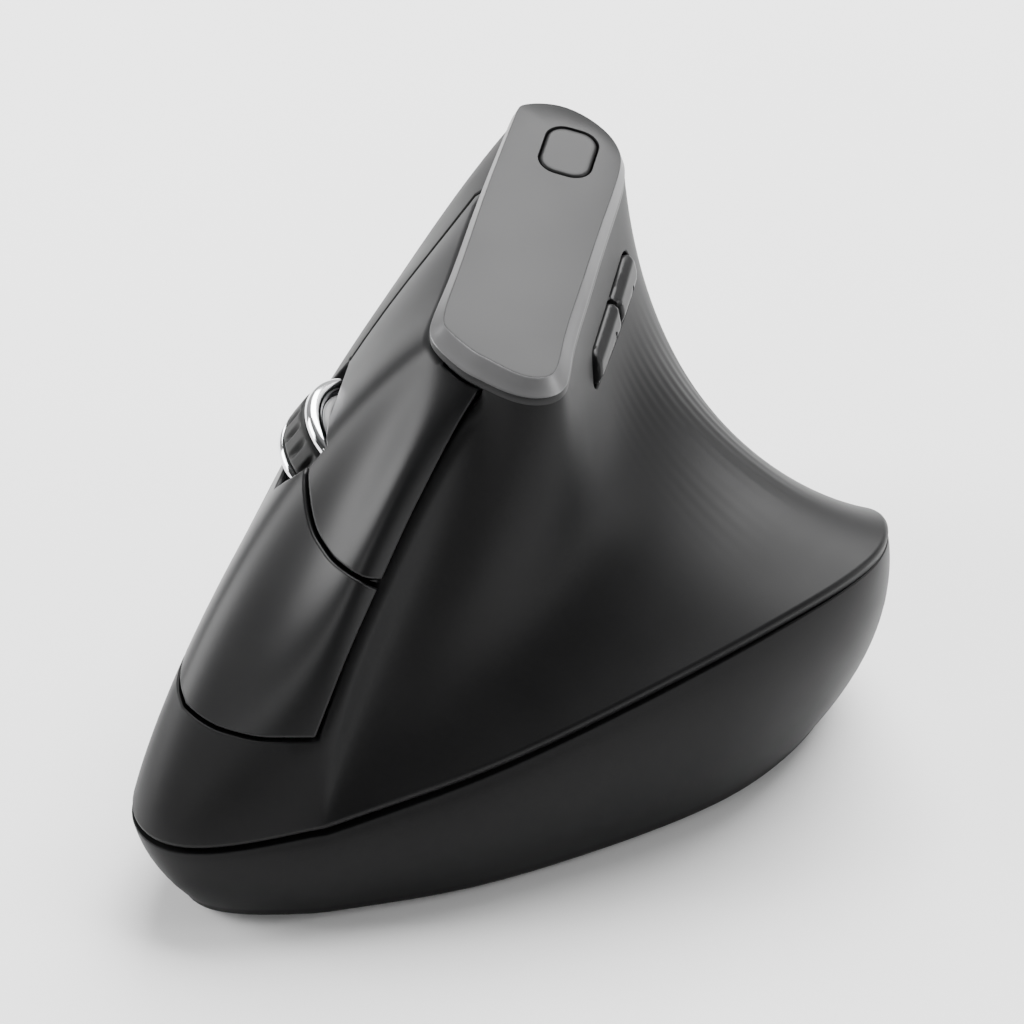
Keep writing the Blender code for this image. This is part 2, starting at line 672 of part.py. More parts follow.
def post(centre, radius, low, top_of, sides=14):
    """A round post whose upper end follows top_of(x, y)."""
    ring = circle(radius, centre, sides)
    return loft([[(x, y, low) for x, y in ring], [(x, y, top_of(x, y)) for x, y in ring]])


def into_wall(frame):
    """Heights over a face's plane that end half way through the wall."""
    return lambda x, y: depth_at(frame, x, y) - WALL / 2


def ring_loop(v):
    return [(u, v) for u in np.arange(0, RAYS, 1 / AROUND)]


# ---------------------------------------------------------------- shells, plate and buttons

def upper_shell():
    holes = [grown(left_button_loop(), SEAM), grown(right_button_loop(), SEAM), slot_loop()]
    holes += [grown(thumb_loop(outline), SEAM) for outline in (FORWARD_BUTTON, BACK_BUTTON)]
    holes.append(deck_loop(dpi_outline(SEAM + FIT)))
    shell = add("upper_shell", skin_piece(ring_loop(1.0), holes, [ring_loop(0.0)]), Matrix(), BODY_BLACK)
    for name, (x, y) in CASE_SCREWS.items():
        bm = post((x, y), BOSS_RADIUS - 0.4, BOSS_TOP + FIT, into_wall(level(0, 0)))
        join(shell, helper("shell_post_" + name, bm))
        cut(shell, helper("shell_pilot_" + name, cylinder(SCREW_RADIUS + 0.25, (x, y), 5, 18, 12)))
    return shell


def outward(ring):
    """Level unit vectors out of a ring that runs clockwise as seen from above."""
    along = np.roll(ring, -1, 0) - np.roll(ring, 1, 0)
    out = np.stack((-along[:, 1], along[:, 0]), 1)
    return out / np.linalg.norm(out, axis=1, keepdims=True)


def base_tub():
    """The lower band and floor: down the inside from the floor's edge, over the lip, down the outside."""
    u = np.arange(0, RAYS, 1 / AROUND)
    lip, foot = SKIN.at(u, 1.0), SKIN.foot.at(u)
    top = lip[:, 2] - WALL * np.maximum(SKIN.soft_normal(u, np.ones_like(u))[:, 2], 0) - LIP_GAP

    def band(share, inset):
        plan = lip[:, :2] + (foot - lip[:, :2]) * share
        swell = BAND_SWELL * top * 4 * share * (1 - share)
        plan = plan + outward(plan) * (swell - inset)[:, None]
        low = FOOT_HEIGHT + BASE_ROUND if inset == 0 else FLOOR_TOP
        return np.column_stack((plan, top + (low - top) * share))

    inner = [band(share, BASE_WALL) for share in (1.0, 0.7, 0.4, 0.0)]
    outer = [band(share, 0) for share in (0.0, 0.2, 0.4, 0.6, 0.8, 1.0)]
    sole = np.column_stack((foot - outward(foot) * BASE_ROUND, np.full(len(u), FOOT_HEIGHT)))
    return loft([*inner, *outer, sole])


def base_shell():
    base = add("base_shell", base_tub(), Matrix(), BODY_BLACK)
    columns = {"frame_" + name: column_place(name)[:2] for name in ("front", "rear")}
    for name, place in {**CASE_SCREWS, **columns}.items():
        join(base, helper("boss_" + name, cylinder(BOSS_RADIUS, place, FLOOR_TOP - 0.6, BOSS_TOP)))
        cut(base, helper("counterbore_" + name, cylinder(2.4, place, -1, 5.0)))
        cut(base, helper("clearance_" + name, cylinder(SCREW_RADIUS + 0.3, place, 4, BOSS_TOP + 1, 16)))
    for index, place in enumerate(BOARD_POSTS):
        bm = cylinder(1.8, place, FLOOR_TOP - 0.6, MAIN_BOARD_LEVEL - FIT, 12)
        join(base, helper(f"board_post_{index}", bm))
    x, y, _ = CELL_CENTRE
    reach, side = CELL_LENGTH / 2 + 3.6, DOOR_SIZE[0] / 2 + 0.5
    for name, low, high in (
        ("end_front", (x - side - 1.4, y - reach - 1.5), (x + side + 1.4, y - reach)),
        ("end_rear", (x - side - 1.4, y + reach), (x + side + 1.4, y + reach + 1.5)),
        ("rail_left", (x - side - 1.2, y - reach - 0.8), (x - side, y + reach + 0.8)),
        ("rail_right", (x + side, y - reach - 0.8), (x + side + 1.2, y + reach + 0.8)),
    ):
        height = 17.0 if name.startswith("end") else 8.0
        join(base, helper("bay_" + name, box((*low, FLOOR_TOP - 0.6), (*high, height))))
    cut(base, helper("bay_opening", block((DOOR_SIZE[0] + 0.8, DOOR_SIZE[1] + 0.8, 6), (x, y), -1)))
    a, b, c = RECEIVER_SIZE
    join(base, helper("pocket", block((a + 3.6, b + 3.6, c + 1.4), RECEIVER_PLACE, FLOOR_TOP - 0.6)))
    cut(base, helper("pocket_room", block((a + 0.8, b + 0.8, c + 2.5), RECEIVER_PLACE, -0.4)))
    cut(base, helper("sensor_window", block((9, 8, 6), SENSOR_PLACE, -1)))
    cut(base, helper("power_window", block((8.0, 4.0, 6), POWER_PLACE, -1)))
    return base


def top_plate():
    u = np.arange(0, RAYS, 1 / AROUND)
    edge = SKIN.at(u, 0.0)[:, :2]
    rings = []
    for inset, height in ((0, FIT), (0, FIT + PLATE_EDGE), (PLATE_CHAMFER, FIT + PLATE_THICK)):
        plan = edge - outward(edge) * inset
        rings.append(np.array([(x, y, plate_height(x, y) + height) for x, y in plan]))
    plate = add("top_plate", loft(rings), Matrix(), PLATE_GREY)
    return cut(plate, helper("plate_hole", prism(dpi_outline(SEAM), -3, 6), PLATE))


def click_button(name, loop, hinge, switch):
    """A main button with the post that presses its switch; the origin is on its hinge."""
    origin = hinge_point(FINGER, *hinge, 3.0)
    button = add(name, skin_piece(loop, chamfer=0.35, origin=origin), level(*origin), BUTTON_GREY)
    bm = post(switch, 1.6, plunger_top() + FIT, into_wall(WHEEL))
    return join(button, helper(name + "_post", bm, WHEEL))


def thumb_button(name, outline, switch):
    origin = hinge_point(THUMB, *switch, 0)
    bm = skin_piece(thumb_loop(outline), proud=THUMB_PROUD, chamfer=0.6, origin=origin)
    return add(name, bm, level(*origin), THUMB_GREY)


def dpi_button():
    high = FIT + PLATE_THICK
    outer, rim = dpi_outline(), dpi_outline(-0.5)
    rings = [[(x, y, DPI_LOW) for x, y in outer], [(x, y, high - 0.5) for x, y in outer]]
    rings.append([(x, y, high) for x, y in rim])
    return add("dpi_button", loft(rings), PLATE, PLATE_GREY)


# ---------------------------------------------------------------- the wheel

def axle_frame():
    """The wheel's frame with Z along its axle."""
    across = WHEEL.to_3x3() @ Vector((0, 1, 0))
    return frame_of(WHEEL.to_3x3() @ Vector((1, 0, 0)), across, WHEEL_CENTRE)


def wheel():
    axle = axle_frame()
    half = WHEEL_WIDTH / 2
    core, rim = WHEEL_RADIUS - 2.6, half - RING_WIDTH
    tread = [(core + FIT, -rim + FIT), (WHEEL_RADIUS - 0.5, -rim + FIT), (WHEEL_RADIUS, -rim + 1.0)]
    tread += [(radius, -height) for radius, height in reversed(tread)]
    add("wheel_tyre", turned_solid(tread), axle, RUBBER)
    ring = [(core + FIT, rim), (WHEEL_RADIUS - 0.4, rim), (WHEEL_RADIUS - 0.2, rim + 0.4)]
    ring += [(WHEEL_RADIUS - 0.6, half - 0.3), (WHEEL_RADIUS - 1.2, half), (core + FIT, half)]
    add("wheel_ring_upper", turned_solid(ring), axle, CHROME)
    add("wheel_ring_lower", turned_solid([(r, -z) for r, z in ring]), axle, CHROME)
    hub = [(AXLE_RADIUS + 0.25, -half + 0.4), (core, -half + 0.4), (core, half - 0.4)]
    hub.append((AXLE_RADIUS + 0.25, half - 0.4))
    add("wheel_hub", turned_solid(hub), axle, INNER_BLACK)
    reach = ARM_OFFSET + ARM_THICK + 0.9
    add("wheel_axle", rod([(AXLE_RADIUS, -reach), (AXLE_RADIUS, reach)]), axle, STEEL)


def wheel_carriage():
    """Two arms that hold the axle, and a bridge over the wheel's press switch."""
    outer = ARM_OFFSET + ARM_THICK
    turn = WHEEL.to_3x3()
    side_on = frame_of(turn @ Vector((1, 0, 0)), turn @ Vector((0, -1, 0)), WHEEL_CENTRE)
    arm = ((-20, -7), (3.5, -7), (3.5, 1.55), (-2.6, 1.55), (-2.6, 0.6), (-20, 0.6))
    carriage = add("wheel_carriage", prism(arm, ARM_OFFSET, outer), side_on, INNER_BLACK)
    join(carriage, helper("far_arm", prism(arm, -outer, -ARM_OFFSET), side_on))
    bridge = box((-19.6, -outer + 0.4, plunger_top() + FIT), (-10.6, outer - 0.4, 0.5))
    join(carriage, helper("bridge", bridge, WHEEL))
    bore = rod([(AXLE_RADIUS + 0.25, -12), (AXLE_RADIUS + 0.25, 12)])
    return cut(carriage, helper("axle_bore", bore, axle_frame()))


def scroll_encoder():
    near = ARM_OFFSET + ARM_THICK + FIT
    encoder = add("scroll_encoder", box((-5, -near - 3.3, -6.5), (5, -near, 1.4)), WHEEL, INNER_BLACK)
    bore = rod([(AXLE_RADIUS + 0.3, -near - 1.6), (AXLE_RADIUS + 0.3, -near + 2)])
    return cut(encoder, helper("encoder_bore", bore, axle_frame()))


# ---------------------------------------------------------------- boards and switches

def plunger_top():
    return BOARD_LEVEL + BOARD + FIT + SWITCH_SIZE[2] + 0.8


def micro_switch(name, place):
    """A snap-action switch on the slanted board, and its plunger."""
    x, y = place
    low = BOARD_LEVEL + BOARD + FIT
    body = add(name + "_switch", block(SWITCH_SIZE, place, low), WHEEL, INNER_BLACK)
    top = low + SWITCH_SIZE[2]
    cut(body, helper(name + "_bore", cylinder(1.4, place, top - 2.6, top + 1, 16), WHEEL))
    frame = WHEEL @ level(x, y, top)
    add(name + "_plunger", rod([(1.05, -1.3), (1.05, 0.5), (0.75, 0.8)], 16), frame, SWITCH_RED)


def switch_board():
    bm = box((-24.5, -18.5, BOARD_LEVEL), (8.0, 15, BOARD_LEVEL + BOARD))
    board = add("switch_board", bm, WHEEL, BOARD_GREEN)
    return cut(board, helper("board_gap", box((-10.8, -5.9, BOARD_LEVEL - 1), (10.8, 5.9, 0)), WHEEL))


def column_place(name):
    along, across = FRAME_COLUMNS[name]
    return tuple(WHEEL @ Vector((along, across, BOARD_LEVEL - 1.3)))


def under_board(x, y):
    """Height of the middle of the inner frame's slanted deck over a point of the table."""
    out = WHEEL.to_3x3() @ UP
    cx, cy, cz = WHEEL_CENTRE
    return cz + (BOARD_LEVEL - 1.3 - out.x * (x - cx) - out.y * (y - cy)) / out.z


def inner_frame():
    """A slanted deck under the switch board, on three columns that stand on the base."""
    bm = box((-24, -17.5, BOARD_LEVEL - 2.3), (7.5, 14, BOARD_LEVEL - FIT))
    frame = add("inner_frame", bm, WHEEL, INNER_BLACK)
    cut(frame, helper("frame_gap", box((-10.8, -5.9, BOARD_LEVEL - 4), (10.8, 5.9, 0)), WHEEL))
    for name in FRAME_COLUMNS:
        x, y, _ = column_place(name)
        low = FLOOR_TOP + FIT if name == "top" else BOSS_TOP + FIT
        join(frame, helper("column_" + name, post((x, y), 2.8, low, under_board)))
        if name != "top":
            cut(frame, helper("frame_pilot_" + name, cylinder(SCREW_RADIUS + 0.25, (x, y), 5, 18, 12)))
    return frame


def tact_switch(name, frame):
    """A small square switch standing on the frame's plane, and its plunger."""
    a, b, c = TACT_SIZE
    body = add(name + "_switch", block((a, b, c), (0, 0), 0), frame, CHIP_BLACK)
    cut(body, helper(name + "_bore", cylinder(1.9, (0, 0), c - 2.2, c + 1, 16), frame))
    add(name + "_plunger", rod([(1.6, -1.2), (1.6, TACT_RISE)], 16), frame @ level(0, 0, c), SWITCH_RED)


def thumb_switches():
    """The side board and the switches behind the two thumb buttons."""
    skin = {name: depth_at(THUMB, *place) for name, place in THUMB_SWITCHES.items()}
    behind = WALL + FIT + TACT_RISE + TACT_SIZE[2]
    floor = min(skin.values()) - behind
    for name, place in THUMB_SWITCHES.items():
        tact_switch(name, THUMB @ level(*place, skin[name] - behind))
    bm = box((-7, -8, floor - FIT - BOARD), (18, 5, floor - FIT))
    return add("side_board", bm, THUMB, BOARD_GREEN)


def dpi_switch():
    top = DPI_LOW - FIT - TACT_RISE
    low = top - TACT_SIZE[2]
    tact_switch("dpi", PLATE @ level(*DPI_CENTRE, low))
    bm = block((12, 11, BOARD), (DPI_CENTRE[0], DPI_CENTRE[1] - 1), low - FIT - BOARD)
    return add("dpi_board", bm, PLATE, BOARD_GREEN)


def main_board():
    sheet = box((-30, -38, MAIN_BOARD_LEVEL), (-5, 0, MAIN_BOARD_LEVEL + BOARD))
    board = add("main_board", sheet, Matrix(), BOARD_GREEN)
    place = column_place("front")[:2]
    cut(board, helper("board_hole", cylinder(BOSS_RADIUS + 0.5, place, 0, 20)))
    add("radio_chip", block((5, 5, 1), (-11, -27), MAIN_BOARD_LEVEL + BOARD + FIT), Matrix(), CHIP_BLACK)
    chip = block((9.6, 8, 3.4), SENSOR_PLACE, MAIN_BOARD_LEVEL - FIT - 3.4)
    add("sensor_chip", chip, Matrix(), CHIP_BLACK)
    low = MAIN_BOARD_LEVEL - FIT - 3.4 - FIT
    lens = add("sensor_lens", block((11, 10, 1), SENSOR_PLACE, low - 1), Matrix(), CLEAR)
    steps = ((2.0, 1.4), (3.0, 2.2), (3.0, low - 0.5))
    nub = [[(x, y, z) for x, y in circle(radius, SENSOR_PLACE)] for radius, z in steps]
    join(lens, helper("lens_nub", loft(nub)))
    return board


def power_switch():
    x, y = POWER_PLACE
    low = MAIN_BOARD_LEVEL - FIT - 3.0
    add("power_switch", block((9, 4.6, 3.0), POWER_PLACE, low), Matrix(), STEEL)
    knob = block((3.6, 3.2, low - FIT - 1.2), (0, 0), 0)
    add("power_switch_knob", knob, level(x - 1.6, y, 1.2), INNER_BLACK)


# ---------------------------------------------------------------- battery, receiver, feet, screws

def battery():
    x, y, z = CELL_CENTRE
    lengthways = frame_of(Vector((1, 0, 0)), Vector((0, 1, 0)), CELL_CENTRE)
    half = CELL_LENGTH / 2
    cell = [(CELL_RADIUS - 0.6, -half), (CELL_RADIUS, -half + 0.6), (CELL_RADIUS, half - 0.6)]
    cell += [(CELL_RADIUS - 0.6, half), (2.6, half), (2.6, half + 1.2)]
    add("battery_cell", rod(cell, 32), lengthways, CELL_WRAP)
    bm = box((x - 5, y + half + 2.4, z - 5), (x + 5, y + half + 3.2, z + 4))
    add("battery_plate", bm, Matrix(), STEEL)
    add("battery_spring", coil(3.6, 0.35, 3, 2.2), lengthways @ level(0, 0, -half - 3.0), STEEL)
    door = block((*DOOR_SIZE, FLOOR_TOP - FOOT_HEIGHT), (0, 0), 0)
    return add("battery_door", door, level(x, y, FOOT_HEIGHT), BODY_BLACK)


def coil(radius, wire, turns, rise, per_turn=14, sides=6):
    """A round wire wound up along Z."""
    rings = []
    for step in range(turns * per_turn + 1):
        angle = 2 * math.pi * step / per_turn
        out = Vector((math.cos(angle), math.sin(angle), 0))
        centre = out * radius + UP * (rise * step / (turns * per_turn))
        around = (2 * math.pi * k / sides for k in range(sides))
        rings.append([centre + (out * math.cos(a) + UP * math.sin(a)) * wire for a in around])
    return loft(rings)


def receiver():
    a, b, c = RECEIVER_SIZE
    x, y = RECEIVER_PLACE
    place = level(x, y - b / 2 + 4, FOOT_HEIGHT + 0.2)
    body = add("receiver_body", block((a, 8.0, c), (0, 0), 0), place, INNER_BLACK)
    plug = block((12.0, b - 8.0 - FIT, 4.5), (0, 0), 0)
    add("receiver_plug", plug, level(x, y + 4 + FIT / 2, FOOT_HEIGHT + 1.2), STEEL)
    return body


def glide_foot(name, start, end):
    """A pad with two round ends that lie at these points."""
    turn = math.atan2(end[1] - start[1], end[0] - start[0])
    outline = []
    for centre, first in ((end, turn - math.pi / 2), (start, turn + math.pi / 2)):
        for angle in np.linspace(first, first + math.pi, 13):
            x, y = centre[0] + GLIDE_RADIUS * math.cos(angle), centre[1] + GLIDE_RADIUS * math.sin(angle)
            outline.append((x, y))
    return add(name + "_foot", prism(outline, 0, FOOT_HEIGHT - FIT), Matrix(), GLIDE)


def screws():
    columns = {"frame_screw_" + name: column_place(name)[:2] for name in ("front", "rear")}
    cases = {"case_screw_" + name: place for name, place in CASE_SCREWS.items()}
    for name, (x, y) in {**cases, **columns}.items():
        profile = [(1.9, 0), (1.9, 1.3), (SCREW_RADIUS, 1.3), (SCREW_RADIUS, 13.0), (0.4, 14.0)]
        add(name, rod(profile, 16), level(x, y, 3.4), STEEL)


# ---------------------------------------------------------------- the whole mouse

def clear_scene():
    for obj in list(bpy.data.objects):
        bpy.data.objects.remove(obj, do_unlink=True)


def build():
    clear_scene()
    upper_shell()
    base_shell()
    top_plate()
    click_button("left_click_button", left_button_loop(), LEFT_REAR[-1], LEFT_SWITCH)
    click_button("right_click_button", right_button_loop(), RIGHT_TIP[2], RIGHT_SWITCH)
    thumb_button("forward_button", FORWARD_BUTTON, THUMB_SWITCHES["forward"])
    thumb_button("back_button", BACK_BUTTON, THUMB_SWITCHES["back"])
    dpi_button()
    wheel()
    wheel_carriage()
    scroll_encoder()
    switch_board()
    inner_frame()
    for name, place in (("left", LEFT_SWITCH), ("right", RIGHT_SWITCH), ("wheel", PRESS_SWITCH)):
        micro_switch(name, place)
    thumb_switches()
    dpi_switch()
    main_board()
    power_switch()
    battery()
    receiver()
    for name, ends in GLIDES.items():
        glide_foot(name, *ends)
    screws()


build()
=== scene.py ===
"""Looks for the upright mouse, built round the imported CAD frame. Tables and sketches are in millimetres."""

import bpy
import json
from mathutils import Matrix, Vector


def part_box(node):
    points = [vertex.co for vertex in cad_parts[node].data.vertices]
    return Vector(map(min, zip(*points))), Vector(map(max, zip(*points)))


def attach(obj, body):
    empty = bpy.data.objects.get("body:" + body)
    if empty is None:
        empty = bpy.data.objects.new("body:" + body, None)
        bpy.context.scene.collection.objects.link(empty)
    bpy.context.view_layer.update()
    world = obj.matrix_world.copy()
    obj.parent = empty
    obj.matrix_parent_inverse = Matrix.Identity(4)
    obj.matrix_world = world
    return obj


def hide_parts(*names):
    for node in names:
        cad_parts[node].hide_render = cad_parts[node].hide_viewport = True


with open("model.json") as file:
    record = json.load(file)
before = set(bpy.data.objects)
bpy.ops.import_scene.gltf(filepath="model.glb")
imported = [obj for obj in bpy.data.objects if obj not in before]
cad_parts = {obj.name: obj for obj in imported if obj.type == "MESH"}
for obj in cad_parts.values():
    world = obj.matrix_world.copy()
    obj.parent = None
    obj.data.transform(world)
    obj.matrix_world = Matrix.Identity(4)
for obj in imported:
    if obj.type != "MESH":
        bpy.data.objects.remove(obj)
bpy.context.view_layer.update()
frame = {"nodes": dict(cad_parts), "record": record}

import json
import math

import bmesh
import bpy
import numpy as np
from mathutils import Matrix, Vector
from mathutils.geometry import delaunay_2d_cdt
from mathutils.kdtree import KDTree

MM = 0.001

# -------- dimensions shared with the CAD (mm)
WALL = 1.8
SEAM = 0.5
FIT = 0.3
PLATE_CENTRE = (-10.1, 13.4, 71.2)
PLATE_SKEW = math.radians(17.5)
PLATE_RISE, PLATE_FALL = math.tan(math.radians(6.0)), math.tan(math.radians(12.0))  # rearwards, thumbwards
PLATE_THICK = 2.4
DECK = 1.6
WHEEL_CENTRE = (-23.5, -13.6, 49.65)
WHEEL_SKEW, WHEEL_LEAN = 18.0, 56.0  # degrees
WHEEL_RADIUS, WHEEL_WIDTH, RING_WIDTH = 9.5, 9.0, 1.6
BODY_RAYS = (
    ((-5.6, -14.9), (-9.0, -50.8, 16.4), (-10.3, -51.5), (38, 26), (68, 20)),
    ((-10.3, -13.4), (-22.1, -59.0, 14.2), (-21.2, -56.6), (48, 18), (70, 14)),
    ((-12.9, -10.0), (-33.3, -55.6, 13.8), (-29.2, -51.6), (40, 26), (74, 18)),
    ((-15.2, -2.0), (-37.4, -41.7, 13.8), (-33.7, -40.3), (38, 28), (76, 22)),
    ((-18.5, 8.5), (-40.0, -22.2, 14.2), (-36.6, -23.2), (39, 30), (78, 24)),
    ((-21.9, 19.5), (-40.7, 0.8, 14.8), (-37.6, -1.2), (43, 30), (78, 24)),
    ((-25.2, 31.0), (-39.7, 24.8, 15.0), (-36.6, 21.9), (49, 26), (76, 22)),
    ((-25.4, 35.4), (-32.7, 45.8, 15.0), (-30.0, 42.0), (54, 24), (74, 20)),
    ((-21.1, 38.9), (-18.2, 58.3, 14.5), (-15.9, 54.4), (60, 24), (66, 20)),
    ((-14.9, 39.0), (1.8, 55.8, 14.0), (2.1, 52.6), (74, 30), (34, 18)),
    ((-10.6, 36.9), (20.3, 44.8, 19.0), (18.4, 42.6), (84, 32), (18, 18)),
    ((-7.4, 32.2), (34.8, 31.8, 31.5), (30.4, 31.6), (82, 28), (4, 20)),
    ((-3.7, 20.7), (40.6, 17.8, 36.0), (33.8, 17.9), (80, 24), (8, 22)),
    ((0.0, 9.2), (35.8, 2.8, 34.7), (31.9, 4.0), (80, 24), (14, 20)),
    ((3.8, -2.2), (27.2, -10.7, 30.8), (25.2, -10.8), (80, 24), (22, 18)),
    ((6.2, -9.4), (12.8, -29.0, 24.2), (11.9, -30.2), (79, 23), (30, 18)),
    ((2.9, -13.9), (1.3, -41.2, 19.8), (1.2, -41.8), (74, 21), (42, 17)),
    ((-2.4, -14.9), (-6.0, -48.4, 17.2), (-6.5, -48.7), (68, 18), (54, 17)),
)
RAYS = len(BODY_RAYS)
SPREAD = 0.6  # rays over which the inner face's normal is averaged
SPLIT = ((3.0, 3.3), (3.6, 2.5), (5.0, 1.4), (6.7, 0.1), (8.4, -1.1), (10.3, -2.1), (12.4, -2.6),
         (14.8, -2.9), (17.1, -2.7), (19.4, -2.3), (20.9, -1.9))
LEFT_REAR = ((-10.9, 15.6), (-12.0, 19.0), (-14.4, 26.8), (-16.6, 35.2), (-19.3, 44.5))
RIGHT_TIP = ((-14.8, 7.2), (-15.6, 10.6), (-19.0, 17.0), (-22.2, 17.0), (-24.2, 12.0), (-24.5, 5.0))
RIGHT_REAR = ((-24.5, 5.0), (-22.5, -6.0), (-18.0, -12.0), (-8.0, -19.5), (5.9, -28.7), (10.7, -30.9))
RIGHT_NOSE = ((10.7, -30.9), (13.0, -30.7), (15.0, -30.3), (17.1, -29.5), (20.9, -27.2), (24.0, -23.9),
              (25.2, -22.2))
CREASE = ((17.1, 0.0), (17.38, 0.1), (17.53, 0.25), (17.64, 0.45), (17.82, 0.62), (18.05, 0.8))  # (u, v)
CREASE_SPLIT, CREASE_LOW = 0.43, 0.77  # v where the seams between the buttons and under them reach it
SLOT_ENDS, SLOT_SIDES = (-8.8, 9.3), (-5.1, 5.7)
FLANGE, FLANGE_END, PLATE_MARGIN = -0.08, 0.6, 0.004
FORWARD_BUTTON = ((-5.0, 1.6), (5.6, 2.85), (6.5, 1.5), (5.2, -1.1), (-7.5, -2.0))
BACK_BUTTON = ((6.1, 2.9), (15.5, 4.0), (17.0, 3.6), (17.6, 2.2), (17.2, 0.6), (16.0, -0.3), (5.8, -1.05),
               (7.1, 1.5))
THUMB_PROUD = 0.9
DPI_CENTRE, DPI_SIZE, DPI_CORNER = (-0.3, 18.2), (7.2, 10.0), 2.7

# -------- mesh fineness
AROUND = 12  # steps between two rays
DOWN = 46  # steps from the plate to the lip
TURN = np.arange(0, RAYS, 1 / AROUND)  # u of the points round the body
STEP = 1.0  # mm between points of an outline
MARGIN = 0.75  # mm beside each row that the grid leaves free
ROUND = 0.42  # radius of an edge, mm
EDGE_ROWS = (0.06, 0.2, 0.42)  # mm in from an edge, the rows that round it
SHARP = 35  # degrees; a fold over this is an edge
UP = Vector((0, 0, 1))


# -------- frames

def direction(azimuth, elevation):
    """Unit vector at these angles; azimuth 0 is the front (-Y) and 90 the thumb side (+X)."""
    a, e = math.radians(azimuth), math.radians(elevation)
    return Vector((math.sin(a) * math.cos(e), -math.cos(a) * math.cos(e), math.sin(e)))


def face_frame(azimuth, elevation, origin):
    """The frame of a sketch: z out of the body at these angles, x level."""
    a = math.radians(azimuth)
    return frame_of(Vector((math.cos(a), math.sin(a), 0)), direction(azimuth, elevation), origin)


def frame_of(x_axis, z_axis, origin):
    made = Matrix((x_axis, z_axis.cross(x_axis), z_axis)).transposed().to_4x4()
    made.translation = Vector(origin)
    return made


def plate_frame():
    rear = Vector((-math.sin(PLATE_SKEW), math.cos(PLATE_SKEW), PLATE_RISE))
    across = Vector((math.cos(PLATE_SKEW), math.sin(PLATE_SKEW), -PLATE_FALL))
    out = across.cross(rear).normalized()
    return frame_of(rear.normalized().cross(out), out, PLATE_CENTRE)


FINGER = face_frame(-30, 45, (-23.2, -19.2, 45.0))
THUMB = face_frame(104, 20, (-1.2, 10.8, 60.0))
WHEEL = face_frame(WHEEL_SKEW - 90, 90 - WHEEL_LEAN, WHEEL_CENTRE)
PLATE = plate_frame()


def plate_height(x, y):
    """Height of the plane that the plate lies on."""
    dx, dy = x - PLATE_CENTRE[0], y - PLATE_CENTRE[1]
    rear = dy * math.cos(PLATE_SKEW) - dx * math.sin(PLATE_SKEW)
    across = dx * math.cos(PLATE_SKEW) + dy * math.sin(PLATE_SKEW)
    return PLATE_CENTRE[2] + rear * PLATE_RISE - across * PLATE_FALL


# -------- the outer skin, as in the CAD

def unit(vector):
    return vector / np.linalg.norm(vector)


def units(vectors):
    return vectors / np.linalg.norm(vectors, axis=-1, keepdims=True)


class ClosedCurve:
    """A smooth closed curve through points; u counts the points."""

    def __init__(self, points):
        self.points = np.array(points, float)
        one = np.eye(len(self.points))
        system = 4 * one + np.roll(one, 1, 0) + np.roll(one, -1, 0)
        self.slopes = np.linalg.solve(system, 3 * (np.roll(self.points, -1, 0) - np.roll(self.points, 1, 0)))

    def at(self, u):
        first = np.floor(u).astype(int) % len(self.points)
        second = (first + 1) % len(self.points)
        t = (u - np.floor(u))[..., None]
        start = (2 * t**3 - 3 * t**2 + 1) * self.points[first] + (t**3 - 2 * t**2 + t) * self.slopes[first]
        return start + (3 * t**2 - 2 * t**3) * self.points[second] + (t**3 - t**2) * self.slopes[second]


def leaving(ring, targets, angles, pulls, sign):
    """Handles of the curves that leave a ring towards targets, by an angle to the level and a length."""
    handles = []
    along = np.roll(ring, -1, 0) - np.roll(ring, 1, 0)
    for point, target, tangent, angle, pull in zip(ring, targets, along, angles, pulls):
        aim = unit((target - point)[:2])
        square = unit(np.array((-tangent[1], tangent[0])))
        square = square if square @ aim > 0 else -square
        way = unit(square + aim) * math.cos(math.radians(angle))
        handles.append(point + pull * np.array((way[0], way[1], sign * math.sin(math.radians(angle)))))
    return np.array(handles)


